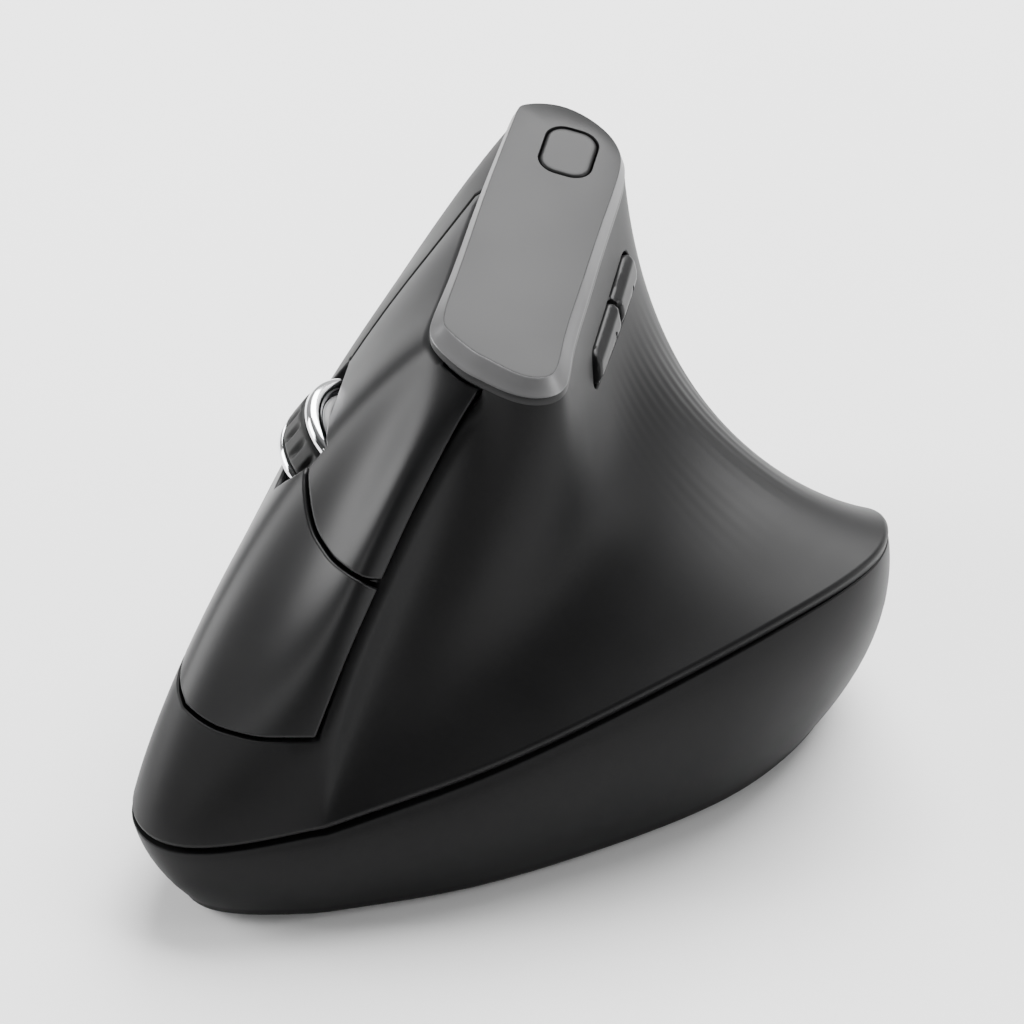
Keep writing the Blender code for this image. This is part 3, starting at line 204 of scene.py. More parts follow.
class Skin:
    """u runs round the body in rays, v from the plate (0) to the lip (1).

    v < 0 is the deck under the plate.
    """

    def __init__(self):
        top = np.array([(x, y, plate_height(x, y)) for (x, y), *_ in BODY_RAYS])
        lip = np.array([ray[1] for ray in BODY_RAYS], float)
        falls, rises = np.array([ray[3] for ray in BODY_RAYS]), np.array([ray[4] for ray in BODY_RAYS])
        rings = [top, leaving(top, lip, falls[:, 0], falls[:, 1], -1)]
        rings += [leaving(lip, top, rises[:, 0], rises[:, 1], 1), lip]
        self.rings = [ClosedCurve(ring) for ring in rings]
        self.foot = ClosedCurve([ray[2] for ray in BODY_RAYS])
        self.middle = np.array(PLATE_CENTRE, float)

    def at(self, u, v):
        u, v = np.broadcast_arrays(np.asarray(u, float), np.asarray(v, float))
        t = np.clip(v, 0, 1)[..., None]
        top, upper, lower, lip = (ring.at(u) for ring in self.rings)
        wall = (1 - t)**3 * top + 3 * t * (1 - t)**2 * upper + 3 * t**2 * (1 - t) * lower + t**3 * lip
        share = np.clip(1 + v, 0, 1)[..., None]
        return np.where(v[..., None] < 0, self.middle + (top - self.middle) * share, wall)

    def normal(self, u, v):
        step = 1e-3
        v = np.maximum(v, 0)
        around = self.at(u + step, v) - self.at(u - step, v)
        down = self.at(u, np.minimum(v + step, 1)) - self.at(u, np.maximum(v - step, 0))
        return units(np.cross(around, down))

    def soft_normal(self, u, v):
        return units(sum(self.normal(u + shift, v) for shift in np.linspace(-SPREAD, SPREAD, 5)))

    def outward(self, u, v):
        """The normal, or the plate's on the deck."""
        return np.where((v < 0)[..., None], np.array(PLATE.to_3x3() @ UP), self.normal(u, v))

    def inner(self, u, v, depth):
        """The wall's inner face, which lies flat under the deck."""
        inward = -depth * self.soft_normal(u, np.maximum(v, 0))
        inward *= np.where(v < 0, np.clip(1 + v, 0, 1)**6, 1)[:, None]
        inside = self.at(u, v) + inward
        roof = plate_height(inside[:, 0], inside[:, 1]) - DECK
        inside[:, 2] = np.where(v <= 0, roof, np.minimum(inside[:, 2], roof))
        return inside


SKIN = Skin()


def settle(error_of, u, v):
    """Moves each (u, v) until its error vanishes or is least."""
    u, v = np.array(u, float), np.array(v, float)
    rounds, step, damping, reach = 14, 1e-4, 1e-3, 0.3
    for _ in range(rounds):
        error = error_of(u, v)
        slope_u = (error_of(u + step, v) - error) / step
        slope_v = (error_of(u, v - step) - error) / -step
        a, b, c = (slope_u**2).sum(1) + damping, (slope_u * slope_v).sum(1), (slope_v**2).sum(1) + damping
        p, q = -(slope_u * error).sum(1), -(slope_v * error).sum(1)
        det = a * c - b * b
        u = u + np.clip((c * p - b * q) / det, -reach, reach)
        v = np.minimum(v + np.clip((a * q - b * p) / det, -reach, reach), 1.0)
    return np.stack((u, v), 1)


GRID_U, GRID_V = (grid.ravel() for grid in np.meshgrid(np.arange(0, RAYS, 0.2), np.linspace(0, 1, 26)))


def on_face(face, points):
    """(u, v) of the skin under points of a face's plane."""
    back = np.array(face.inverted())
    flat = SKIN.at(GRID_U, GRID_V) @ back[:3, :3].T + back[:3, 3]
    facing = SKIN.normal(GRID_U, GRID_V) @ back[2, :3] > 0
    goal = np.array(points, float)
    miss = np.hypot(*(flat[None, :, :2] - goal[:, None]).transpose(2, 0, 1)) + np.where(facing, 0, 1e3)
    near = miss < miss.min(1)[:, None] + 2.0
    start = np.where(near, flat[:, 2] - 3 * miss, -np.inf).argmax(1)

    def error(u, v):
        return SKIN.at(u, v) @ back[:2, :3].T + back[:2, 3] - goal

    return settle(error, GRID_U[start], GRID_V[start])


# -------- outlines on the skin

def smooth(points, step=STEP):
    """Points about a step apart on a smooth curve through the given ones."""
    points = [np.array(point) for point in points]
    ends = [2 * points[0] - points[1], *points, 2 * points[-1] - points[-2]]
    curve = [ends[1]]
    for a, b, c, d in zip(ends, ends[1:], ends[2:], ends[3:]):
        count = max(1, round(np.linalg.norm(c - b) / step))
        for t in np.arange(1, count + 1) / count:
            bend = (c - a) * t + (2 * a - 5 * b + 4 * c - d) * t**2 + (3 * b - 3 * c + d - a) * t**3
            curve.append(b + bend / 2)
    return curve


def stretch(start, end, count):
    return [tuple(point) for point in np.linspace(start, end, count + 1)]


def to_map(loop):
    """(u, v) as points of a plane: the deck fills the unit circle and the wall lies round it."""
    u, v = np.asarray(loop, float).T
    radius = np.where(v < 0, 1 + v, 1 + 2 * v)
    angle = 2 * math.pi * u / RAYS
    return np.stack((radius * np.cos(angle), radius * np.sin(angle)), 1)


def from_map(points):
    x, y = np.asarray(points, float).T
    radius = np.hypot(x, y)
    v = np.where(radius < 1, radius - 1, (radius - 1) / 2)
    v[np.abs(v) < 2e-4] = 0
    return np.arctan2(y, x) / (2 * math.pi) * RAYS % RAYS, np.minimum(v, 1)


def turned(loop):
    """The loop, reversed if it runs clockwise on the map."""
    x, y = to_map(loop).T
    return loop if x @ np.roll(y, -1) - y @ np.roll(x, -1) > 0 else loop[::-1]


def sides_of(loop):
    """Unit vectors on the skin, square to a loop and out of it, with their miter lengths."""
    place = SKIN.at(*loop.T)
    normal = SKIN.outward(*loop.T)
    ahead, behind = np.roll(place, -1, 0) - place, place - np.roll(place, 1, 0)
    first, second = (units(np.cross(normal, units(way))) for way in (ahead, behind))
    both = units(first + second)
    return both, 1 / np.maximum((both * first).sum(1), 0.6)


def grown(loop, distance):
    """The loop moved outwards over the skin by a distance in mm."""
    loop = turned(np.array(loop))
    both, miter = sides_of(loop)
    goal = SKIN.at(*loop.T) + both * (miter * distance)[:, None]
    return settle(lambda u, v: SKIN.at(u, v) - goal, *loop.T)


def even(loop, step=STEP):
    """The closed loop with its long gaps filled, a point about every step."""
    loop = np.array(loop, float)
    after = np.roll(loop, -1, 0)
    wrap = after[:, 0] - loop[:, 0]
    after[:, 0] -= RAYS * np.round(wrap / RAYS)
    gaps = np.linalg.norm(SKIN.at(*after.T) - SKIN.at(*loop.T), axis=1)
    made = []
    for a, b, gap in zip(loop, after, gaps):
        made += stretch(a, b, max(1, round(gap / step)))[:-1]
    return np.array(made)


def inside(points, loop):
    """Whether each point of the plane lies inside a loop."""
    x, y = points[:, 0][:, None], points[:, 1][:, None]
    ax, ay = loop.T
    bx, by = np.roll(loop, -1, 0).T
    spans = (ay > y) != (by > y)
    crossing = ax + (y - ay) * (bx - ax) / np.where(by == ay, 1, by - ay)
    return (spans & (x < crossing)).sum(1) % 2 == 1


def crease_ray(v):
    """The ray on which the buttons' edge runs down the crease."""
    curve = np.array(smooth(CREASE, 0.04))
    return np.interp(v, curve[:, 1], curve[:, 0])


def crease(v_start, v_end):
    run = np.linspace(v_start, v_end, max(2, round(abs(v_end - v_start) * 60)) + 1)
    return list(zip(crease_ray(run), run))


def beside(line, distance):
    """A smooth copy of a line, this far to its left."""
    curve = np.array(smooth(line))
    along = np.gradient(curve, axis=0)
    left = np.column_stack((-along[:, 1], along[:, 0]))
    return curve + distance * left / np.linalg.norm(along, axis=1)[:, None]


def slot_side(across):
    return stretch((SLOT_ENDS[0], across), (SLOT_ENDS[1], across), 20)


def slot_loop():
    return on_face(WHEEL, slot_side(SLOT_SIDES[0]) + slot_side(SLOT_SIDES[1])[::-1])


def left_button_loop():
    """The left button's outline, which ends in a flange under the plate."""
    rear = on_face(FINGER, [LEFT_REAR[-1]])[0, 0] + 0.12
    loop = crease(PLATE_MARGIN, CREASE_SPLIT - 0.01)
    loop += list(on_face(FINGER, beside(SPLIT, SEAM / 2)[:-1])[::-1])
    loop += list(on_face(WHEEL, slot_side(SLOT_SIDES[1])[::-1]))
    loop += list(on_face(FINGER, smooth(LEFT_REAR)[:-1]))
    loop.append((rear, 0.0))
    loop += stretch((rear, FLANGE), (FLANGE_END, FLANGE), 20)
    loop += stretch((FLANGE_END, PLATE_MARGIN), (CREASE[0][0] - RAYS + 0.2, PLATE_MARGIN), 6)
    return np.array(loop)


def right_button_loop():
    loop = list(on_face(FINGER, beside(SPLIT, -SEAM / 2)[:-1]))
    loop += crease(CREASE_SPLIT + 0.01, CREASE_LOW)
    for part in (RIGHT_NOSE, RIGHT_REAR, RIGHT_TIP):
        loop += list(on_face(FINGER, smooth(part)[:-1]))[::-1]
    loop += list(on_face(WHEEL, slot_side(SLOT_SIDES[0])))
    return np.array(loop)


def between(start, end):
    """Points between two others, about STEP apart."""
    count = max(1, round(np.linalg.norm(end - start) / STEP))
    return [start + (end - start) * k / count for k in range(1, count)]


def rounded(outline, radius=0.5, steps=4):
    """A plane outline with its corners rounded and a point about every STEP."""
    points = [np.array(point, float) for point in outline]
    made = []
    for before, corner, after in zip(points[-1:] + points[:-1], points, points[1:] + points[:1]):
        back, on = before - corner, after - corner
        reach = min(radius, 0.4 * np.linalg.norm(back), 0.4 * np.linalg.norm(on))
        start, end = corner + unit(back) * reach, corner + unit(on) * reach
        if made:
            made += between(made[-1], start)
        for t in np.linspace(0, 1, steps + 1):
            made.append((1 - t)**2 * start + 2 * t * (1 - t) * corner + t**2 * end)
    return made + between(made[-1], made[0])


def dpi_outline(grow=0.0, steps=10):
    """The DPI button's outline in the plate's frame."""
    points = []
    half = np.array(DPI_SIZE) / 2 - DPI_CORNER
    for corner, (sx, sy) in enumerate(((1, 1), (-1, 1), (-1, -1), (1, -1))):
        for angle in np.radians(np.linspace(0, 90, steps + 1) + 90 * corner):
            reach = (DPI_CORNER + grow) * np.array((math.cos(angle), math.sin(angle)))
            points.append(np.array(DPI_CENTRE) + half * (sx, sy) + reach)
    return points


def deck_loop(outline):
    """(u, v) on the deck of an outline in the plate's frame."""
    goal = np.array([PLATE @ Vector((x, y, 0)) for x, y in outline])
    turns = np.arange(0, RAYS, 0.05)
    around = SKIN.at(turns, 0.0)[:, :2] - SKIN.middle[:2]
    way = goal[:, :2] - SKIN.middle[:2]
    start = (way @ around.T / np.linalg.norm(around, axis=1)).argmax(1)
    return settle(lambda u, v: SKIN.at(u, v) - goal, turns[start], np.full(len(goal), -0.5))


# -------- meshes of the skin

def tree_of(points):
    tree = KDTree(len(points))
    for index, place in enumerate(points):
        tree.insert(place, index)
    tree.balance()
    return tree


def clear_of(points, loops, margin):
    """Whether each point lies more than a margin away from all loops."""
    tree = tree_of(np.concatenate([SKIN.at(*np.array(loop).T) for loop in loops]))
    return np.array([tree.find(place)[2] > margin for place in SKIN.at(*points.T)])


def loop_edges(loops):
    """The edges of closed loops whose points are numbered one loop after the other."""
    edges, first = [], 0
    for loop in loops:
        edges += [(first + i, first + (i + 1) % len(loop)) for i in range(len(loop))]
        first += len(loop)
    return edges


def biggest(triangles):
    """The largest group of triangles that hang together."""
    owner, links = {}, [[] for _ in triangles]
    for index, triangle in enumerate(triangles):
        for a, b in zip(triangle, (*triangle[1:], triangle[0])):
            other = owner.setdefault((min(a, b), max(a, b)), index)
            if other != index:
                links[index].append(other)
                links[other].append(index)
    best, seen = [], set()
    for start in range(len(triangles)):
        if start in seen:
            continue
        group, stack = [], [start]
        seen.add(start)
        while stack:
            index = stack.pop()
            group.append(triangles[index])
            fresh = [other for other in links[index] if other not in seen]
            stack += fresh
            seen.update(fresh)
        best = max(best, group, key=len)
    return np.array(best)


class Row:
    """A loop of the skin that the mesh follows, its height over the skin and its normal's lean to a side."""

    def __init__(self, loop, height=0.0, lean=0.0, side=(0, 0, 0)):
        self.loop = np.array(loop, float)
        self.data = np.empty((len(self.loop), 5))
        self.data[:, 0], self.data[:, 1], self.data[:, 2:] = height, lean, side


def edge_rows(loop, sign, radius=ROUND):
    """Rows that round an edge: sign +1 for a piece inside its loop, -1 for a piece round a hole."""
    loop = turned(np.array(loop, float))
    side = sides_of(loop)[0] * sign
    rows = [Row(loop, -radius, math.pi / 2, side)]
    for depth in EDGE_ROWS:
        depth = depth * radius / ROUND
        lean = math.asin(max(0.0, 1 - depth / radius))
        rows.append(Row(grown(loop, -sign * depth), -radius * (1 - math.cos(lean)), lean, side))
    return rows


def region(edge_lists, lines, grid, margin):
    """Triangles inside the first edge and outside the others, with the rows' data for each point.

    Each list of edge_lists has the rows of one edge, its outline first.
    """
    rows = [row for rows in edge_lists for row in rows] + list(lines)
    grid = grid[clear_of(grid, [row.loop for row in rows], margin)]
    grid = grid[inside(to_map(grid), to_map(edge_lists[0][0].loop))]
    flat = [Vector(point) for point in np.concatenate([to_map(row.loop) for row in rows] + [to_map(grid)])]
    edges = loop_edges([row.loop for row in rows])
    found, _, faces, sources, *_ = delaunay_2d_cdt(flat, edges, [], 0, 1e-6, True)
    found, faces = np.array(found), np.array(faces)
    blank = np.array((np.nan, 0, 0, 0, 0))
    data = np.concatenate([row.data for row in rows] + [np.tile(blank, (len(grid), 1))])
    source = np.array([ids[0] if len(ids) else -1 for ids in sources])
    data = np.where(source[:, None] >= 0, data[source], blank)
    middle = found[faces].mean(1)
    keep = inside(middle, to_map(edge_lists[0][0].loop))
    for rows_of_hole in edge_lists[1:]:
        keep &= ~inside(middle, to_map(rows_of_hole[0].loop))
    used, kept = np.unique(biggest(faces[keep].tolist()), return_inverse=True)
    return found[used], kept.reshape(-1, 3), data[used]


def full_grid(around=AROUND):
    u, v = np.meshgrid(np.arange(0, RAYS, 1 / around), np.arange(1, DOWN) / DOWN)
    return np.stack((u.ravel(), v.ravel()), 1)


def skin_piece(name, edge_lists, lines=(), relief=None, grid=None, depth=WALL, margin=MARGIN, mound=None):
    """A closed piece of wall in fine triangles, with exact normals on its outer face.

    mound gives the height of points that belong to no row, and then the normals come from the mesh.
    """
    flat, faces, data = region(edge_lists, lines, full_grid() if grid is None else grid, margin)
    u, v = from_map(flat)
    height, lean, side = data[:, 0], data[:, 1], data[:, 2:]
    lift = np.where(np.isnan(height), mound(u, v) if mound else 0.0, height)
    extra = relief or (lambda a, b: np.zeros(len(a)))

    def outer(a, b):
        return SKIN.at(a, b) + (lift + extra(a, b))[:, None] * SKIN.outward(a, b)

    top = outer(u, v)
    normal = SKIN.outward(u, v)
    if relief:
        step = 2e-3
        around = outer(u + step, v) - outer(u - step, v)
        down = outer(u, np.minimum(v + step, 1)) - outer(u, np.maximum(v - step, 1e-6))
        normal = np.where((v > 0)[:, None], units(np.cross(around, down)), normal)
    normal = units(normal * np.cos(lean)[:, None] + side * np.sin(lean)[:, None])
    below = -SKIN.soft_normal(u, np.maximum(v, 0))
    faces, count = faces.tolist(), len(top)
    pairs = {(a, b) for face in faces for a, b in zip(face, (*face[1:], face[0]))}
    outer_faces = [tuple(face[::-1]) for face in faces]
    inner_faces = [tuple(i + count for i in face) for face in faces]
    walls = [(a, b, b + count, a + count) for a, b in sorted(pairs) if (b, a) not in pairs]
    normals = [normal[i] for face in outer_faces for i in face]
    normals += [below[i - count] for face in inner_faces for i in face]
    normals += [side[i % count] for wall in walls for i in wall]
    points = np.concatenate((top, SKIN.inner(u, v, depth))) * MM
    return mesh_object(name, points, outer_faces + inner_faces + walls, None if mound else normals)


def mesh_object(name, points, faces, corner_normals):
    mesh = bpy.data.meshes.new(name)
    mesh.from_pydata([tuple(point) for point in points], [], faces)
    mesh.validate()
    if corner_normals is None:
        return put(name, smoothed(mesh))
    mesh.shade_smooth()
    if len(corner_normals) == len(mesh.loops):
        mesh.normals_split_custom_set([tuple(normal) for normal in corner_normals])
    return put(name, mesh)


def smoothed(mesh, sharp=SHARP):
    mesh.shade_smooth()
    mesh.set_sharp_from_angle(angle=math.radians(sharp))
    return mesh


def put(name, data):
    """Adds an object to the scene."""
    obj = bpy.data.objects.new(name, data)
    bpy.context.scene.collection.objects.link(obj)
    return obj


# -------- shell and buttons (mm)

LIP_ROUND, LIP_ROWS = 0.75, ((0.12, 62), (0.4, 33), (0.8, 0))  # radius, and its rows: mm in, degrees
HOLE_ROUND = 0.3  # radius of the shell's edges round the buttons
RIBS, RIB_DEPTH = 15, 0.055  # fine flutes on the thumb rest
RIB_SPAN = (10.8, 13.5)  # rays between which they run
RIB_TOP, RIB_LOW = (0.18, 0.2), (0.84, 0.3)  # v where they end, and over how much they fade
CREASE_ROLL, CREASE_DROP = 2.3, 1.25  # width and depth of the shell's rolled edge along the crease
CREASE_END = (0.81, 0.17)  # v where it ends, and over how much it fades
KEY_WALL = 0.9  # the keys' walls are thinner than the shell's, so that a pressed key stays clear of it
THUMB_LINE = (2.19, 0.118)  # the thumb buttons' upper edge: its height at x = 0, and its slope
THUMB_ROLL, THUMB_SINK = 0.8, 0.55  # width and depth of their soft edge
FACET_FOOT, FACET_RISE = 0.12, 0.55  # the facet along their upper edge: its height there, and its slope
RIM_IN, RIM_LOW, NEAR_LOW = 0.12, 0.25, 0.05  # their outline's two rows: the step in, and how low they lie
ARROW_ROUND, ARROW_DEPTH = 0.25, 0.3
FORWARD_ARROW = ((2.6, -0.1), (0.0, -1.4), (0.0, -2.1))
BACK_ARROW = ((9.75, -1.05), (13.5, 0.6), (13.5, -0.1))


def flutes(u, v):
    """Depth of the fine flutes that run down the thumb rest and fade out at their ends."""
    u = np.asarray(u) % RAYS
    share = (u - RIB_SPAN[0]) / (RIB_SPAN[1] - RIB_SPAN[0])
    across = np.clip(np.minimum(share, 1 - share) * 4, 0, 1)
    along = np.clip((v - RIB_TOP[0]) / RIB_TOP[1], 0, 1) * np.clip((RIB_LOW[0] - v) / RIB_LOW[1], 0, 1)
    strength = np.where((share > 0) & (share < 1), across * along, 0) * (1.15 - 0.85 * np.clip(share, 0, 1))
    wave = np.cos(2 * math.pi * RIBS * np.clip(share, 0, 1)**1.2)
    return -RIB_DEPTH * strength * (0.5 - 0.5 * wave)


def rolled(u, v):
    """Depth of the shell's edge that rolls down into the crease beside the buttons."""
    u = np.asarray(u) % RAYS
    u = np.where(u < 2, u + RAYS, u)
    wide = np.linalg.norm(SKIN.at(u + 0.05, v) - SKIN.at(u - 0.05, v), axis=-1) / 0.1
    away = (crease_ray(v) - u) * wide - SEAM
    share = np.clip(1 - away / CREASE_ROLL, 0, 1)
    fade = np.clip((CREASE_END[0] - v) / CREASE_END[1], 0, 1)
    ends = np.clip(v / 0.05, 0, 1) * fade**2 * (3 - 2 * fade)
    return np.where((u > 15.5) & (u < 18.3), -CREASE_DROP * share**2.2 * ends, 0)


def shell_relief(u, v):
    return flutes(u, v) + rolled(u, v)


def shell_grid():
    """The body's grid, finer where the flutes run and along the crease."""
    coarse, fine = full_grid(), full_grid(AROUND * 4)

    def special(grid):
        u, v = grid.T
        ribs = (u > RIB_SPAN[0]) & (u < RIB_SPAN[1]) & (v > 0.14) & (v < 0.88)
        return ribs | ((u > 16.3) & (u < 17.95) & (v < 0.86))

    return np.concatenate((coarse[~special(coarse)], fine[special(fine)]))


def ring_loop(v):
    return np.column_stack((TURN, np.full(len(TURN), v)))


def upper_shell():
    lip = ring_loop(1.0)
    side = sides_of(turned(lip))[0]
    rows = [Row(lip, -LIP_ROUND, math.pi / 2, side)]
    for depth, lean in LIP_ROWS:
        angle = math.radians(lean)
        rows.append(Row(grown(lip, -depth), -LIP_ROUND * (1 - math.cos(angle)), angle, side))
    holes = [grown(even(loop), SEAM) for loop in (left_button_loop(), right_button_loop())]
    holes.append(even(slot_loop()))
    holes += [grown(on_face(THUMB, rounded(outline)), SEAM) for outline in (FORWARD_BUTTON, BACK_BUTTON)]
    edges = [rows, *(edge_rows(hole, -1, HOLE_ROUND) for hole in holes)]
    edges.append([Row(turned(deck_loop(dpi_outline(SEAM + FIT))))])
    return skin_piece("shell_soft", edges, [Row(ring_loop(0.0))], shell_relief, shell_grid(), margin=0.4)


def click_button(name, loop):
    return skin_piece(name, [edge_rows(even(loop), 1)], depth=KEY_WALL)


def thumb_height(loop):
    """Height over the skin of a thumb button: a soft edge all round and a facet along the top."""
    tree = tree_of(SKIN.at(*even(loop, 0.2).T))
    back = np.array(THUMB.inverted())

    def height(u, v):
        place = SKIN.at(u, v)
        far = np.array([tree.find(point)[2] for point in place])
        x, y = (place @ back[:2, :3].T + back[:2, 3]).T
        below_top = THUMB_LINE[0] + THUMB_LINE[1] * x - y
        soft = THUMB_PROUD - THUMB_SINK * np.clip(1 - far / THUMB_ROLL, 0, 1)**2
        return np.minimum(soft, FACET_FOOT + FACET_RISE * below_top)

    return height


def thumb_button(name, outline, arrow):
    """A proud button with an engraved arrow, on a grid of its own."""
    loop = turned(on_face(THUMB, rounded(outline, 0.7)))
    height = thumb_height(loop)
    near = grown(loop, -RIM_IN)
    rows = [Row(loop, height(*loop.T) - RIM_LOW), Row(near, height(*near.T) - NEAR_LOW)]
    mark = turned(on_face(THUMB, rounded(arrow, ARROW_ROUND, 2)))
    floor = grown(mark, -RIM_IN)
    lines = [Row(mark, height(*mark.T)), Row(floor, height(*floor.T) - ARROW_DEPTH)]
    (u_low, v_low), (u_high, v_high) = loop.min(0), loop.max(0)
    u, v = np.meshgrid(np.arange(u_low, u_high, 1 / 28), np.arange(v_low, v_high, 0.005))
    grid = np.stack((u.ravel(), v.ravel()), 1)
    grid = grid[~inside(to_map(grid), to_map(mark))]
    return skin_piece(name, [rows], lines, grid=grid, margin=0.22, mound=height)


# -------- lofted solids

def outward(ring):
    """Unit vectors out of a ring, in plan."""
    along = np.roll(ring, -1, 0) - np.roll(ring, 1, 0)
    return units(np.stack((-along[:, 1], along[:, 0]), 1))


def strips(rings, closed=False):
    """Points and quads of rings of equal count; closed joins the last ring to the first."""
    count, total = len(rings[0]), len(rings) * len(rings[0])
    faces = []
    for row in range(len(rings) if closed else len(rings) - 1):
        for i in range(count):
            a, b = row * count + i, row * count + (i + 1) % count
            faces.append((a, (a + count) % total, (b + count) % total, b))
    return [tuple(point) for ring in rings for point in ring], faces


def solid(name, points, faces, matrix=None, sharp=SHARP):
    """A mesh object from millimetre points, with its normals made to face out."""
    bm = bmesh.new()
    made = [bm.verts.new(((matrix @ Vector(p)) if matrix else Vector(p)) * MM) for p in points]
    for face in faces:
        bm.faces.new([made[index] for index in face])
    bmesh.ops.recalc_face_normals(bm, faces=bm.faces)
    mesh = bpy.data.meshes.new(name)
    bm.to_mesh(mesh)
    bm.free()
    return put(name, smoothed(mesh, sharp))


def lofted(name, rings, matrix=None, sharp=SHARP):
    points, faces = strips(rings)
    count = len(rings[0])
    faces += [tuple(range(count)), tuple(range(len(points) - count, len(points)))]
    return solid(name, points, faces, matrix, sharp)


# -------- the base (mm)

LIP_GAP, BASE_WALL, FLOOR_TOP, FOOT_HEIGHT = 0.1, 2.0, 2.7, 0.9
BAND_SWELL, SOLE_ROUND, RIM_ROUND = 0.08, 1.3, 0.22
ROUND_ANGLES = np.radians((0, 22, 45, 68, 90))
FUSED = FLOOR_TOP - 0.6  # inside the floor: where the inner walls start
CUT_LOW, CUT_HIGH = -1, 5  # a cut through the floor
BOSS_RADIUS, BOSS_TOP, COUNTERBORE, SCREW_HOLE = 3.4, 9.7, 2.4, 1.3
BAY_NEAR, BAY_FAR, BAY_TOP = 0.5, 1.7, 8.0  # walls beside the battery door: mm away from it, and their top
BAY_END, BAY_SIDE, BAY_END_TOP = 1.5, 1.9, 17.0  # walls at its ends: thickness, reach beside it, top
POCKET_WALL, POCKET_TOP = 1.8, 8.8  # round the receiver
POCKET_GAP, POCKET_FLOOR, POCKET_ROOF = 0.4, -0.4, 7.8
WINDOWS = {"sensor_lens": (4.5, 4), "power_switch": (4, 2)}  # half sizes of the cuts over them


def base_tub():
    """The band and the floor, with a rounded rim and a rounded edge to the sole."""
    lip, foot = SKIN.at(TURN, 1.0), SKIN.foot.at(TURN)
    lean = np.maximum(SKIN.soft_normal(TURN, np.ones_like(TURN))[:, 2], 0)
    top = lip[:, 2] - WALL * lean - LIP_GAP

    def band(share, inset, drop=0.0, floor=FOOT_HEIGHT + SOLE_ROUND):
        plan = lip[:, :2] + (foot - lip[:, :2]) * share
        swell = BAND_SWELL * top * 4 * share * (1 - share)
        plan = plan + outward(plan) * (swell - inset)[:, None]
        return np.column_stack((plan, top - drop + (floor - top) * share))

    rings = [band(share, BASE_WALL, floor=FLOOR_TOP) for share in (1.0, 0.8, 0.6, 0.4, 0.2, 0.0)]
    for angle in ROUND_ANGLES[::-1]:
        rings.append(band(0.0, RIM_ROUND * (1 - math.cos(angle)), RIM_ROUND * (1 - math.sin(angle))))
    rings += [band(share, 0) for share in np.linspace(0.06, 1.0, 16)]
    out = outward(foot)
    for angle in ROUND_ANGLES[1:]:
        plan = foot - out * (SOLE_ROUND * (1 - math.cos(angle)))
        height = FOOT_HEIGHT + SOLE_ROUND * (1 - math.sin(angle))
        rings.append(np.column_stack((plan, np.full(len(TURN), height))))
    return lofted("base_body", rings)


def place_of(node):
    low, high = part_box(node)
    return (low[0] + high[0]) / 2 / MM, (low[1] + high[1]) / 2 / MM


def prism(plan, low, high):
    return lofted("tool", [[(x, y, z) for x, y in plan] for z in (low, high)])


def disc(radius, centre, low, high, steps=40):
    angles = [2 * math.pi * k / steps for k in range(steps)]
    ring = [(centre[0] + radius * math.cos(a), centre[1] + radius * math.sin(a)) for a in angles]
    return prism(ring, low, high)


def block(low, high):
    (x0, y0, z0), (x1, y1, z1) = low, high
    return prism(((x0, y0), (x1, y0), (x1, y1), (x0, y1)), z0, z1)


def box_round(node, reach, low, high):
    a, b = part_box(node)
    a, b = [value / MM for value in a], [value / MM for value in b]
    return block((a[0] - reach, a[1] - reach, low), (b[0] + reach, b[1] + reach, high))


def joined(target, added, cut):
    """Joins tools to the target and cuts others from it, then keeps only the result."""
    steps = [("UNION", tool) for tool in added] + [("DIFFERENCE", tool) for tool in cut]
    for operation, tool in steps:
        modifier = target.modifiers.new("step", "BOOLEAN")
        modifier.operation, modifier.solver, modifier.object = operation, "EXACT", tool
    graph = bpy.context.evaluated_depsgraph_get()
    mesh = bpy.data.meshes.new_from_object(target.evaluated_get(graph))
    target.modifiers.clear()
    target.data = smoothed(mesh)
    for _, tool in steps:
        bpy.data.objects.remove(tool, do_unlink=True)
    return target


def base_shell():
    screws = [place_of(node) for node in frame["nodes"] if "_screw_" in node]
    added = [disc(BOSS_RADIUS, place, FUSED, BOSS_TOP) for place in screws]
    low, high = (Vector(corner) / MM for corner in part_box("battery_door"))
    for side, end in ((low.x - BAY_FAR, low.x - BAY_NEAR), (high.x + BAY_NEAR, high.x + BAY_FAR)):
        added.append(block((side, low.y, FUSED), (end, high.y, BAY_TOP)))
    for y in (low.y - 1.1, high.y - 0.4):
        added.append(block((low.x - BAY_SIDE, y, FUSED), (high.x + BAY_SIDE, y + BAY_END, BAY_END_TOP)))
    added.append(box_round("receiver_body", POCKET_WALL, FUSED, POCKET_TOP))
    cut = []
    for place in screws:
        cut.append(disc(COUNTERBORE, place, CUT_LOW, CUT_HIGH))
        cut.append(disc(SCREW_HOLE, place, 4, BOSS_TOP + 1))
    cut.append(box_round("battery_door", 0.4, CUT_LOW, CUT_HIGH))
    low, high = (Vector(corner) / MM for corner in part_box("receiver_body"))
    plug_end = (Vector(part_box("receiver_plug")[1]) / MM).y
    cut.append(block((low.x - POCKET_GAP, low.y - POCKET_GAP, POCKET_FLOOR),
                     (high.x + POCKET_GAP, plug_end + POCKET_GAP, POCKET_ROOF)))
    for node, (wide, long) in WINDOWS.items():
        x, y = place_of(node)
        cut.append(block((x - wide, y - long, CUT_LOW), (x + wide, y + long, CUT_HIGH)))
    return joined(base_tub(), added, cut)


# -------- the plate and its button (mm)

PLATE_SEAT = 0.04  # the plate's under side over the deck
PLATE_EDGE = 1.15  # height of its upright edge
CHAMFER_STEPS = ((0.0, 0.0), (0.02, 0.03), (0.1, 0.1), (0.5, 0.5), (0.88, 0.9), (0.96, 0.975), (1.06, 1.0))
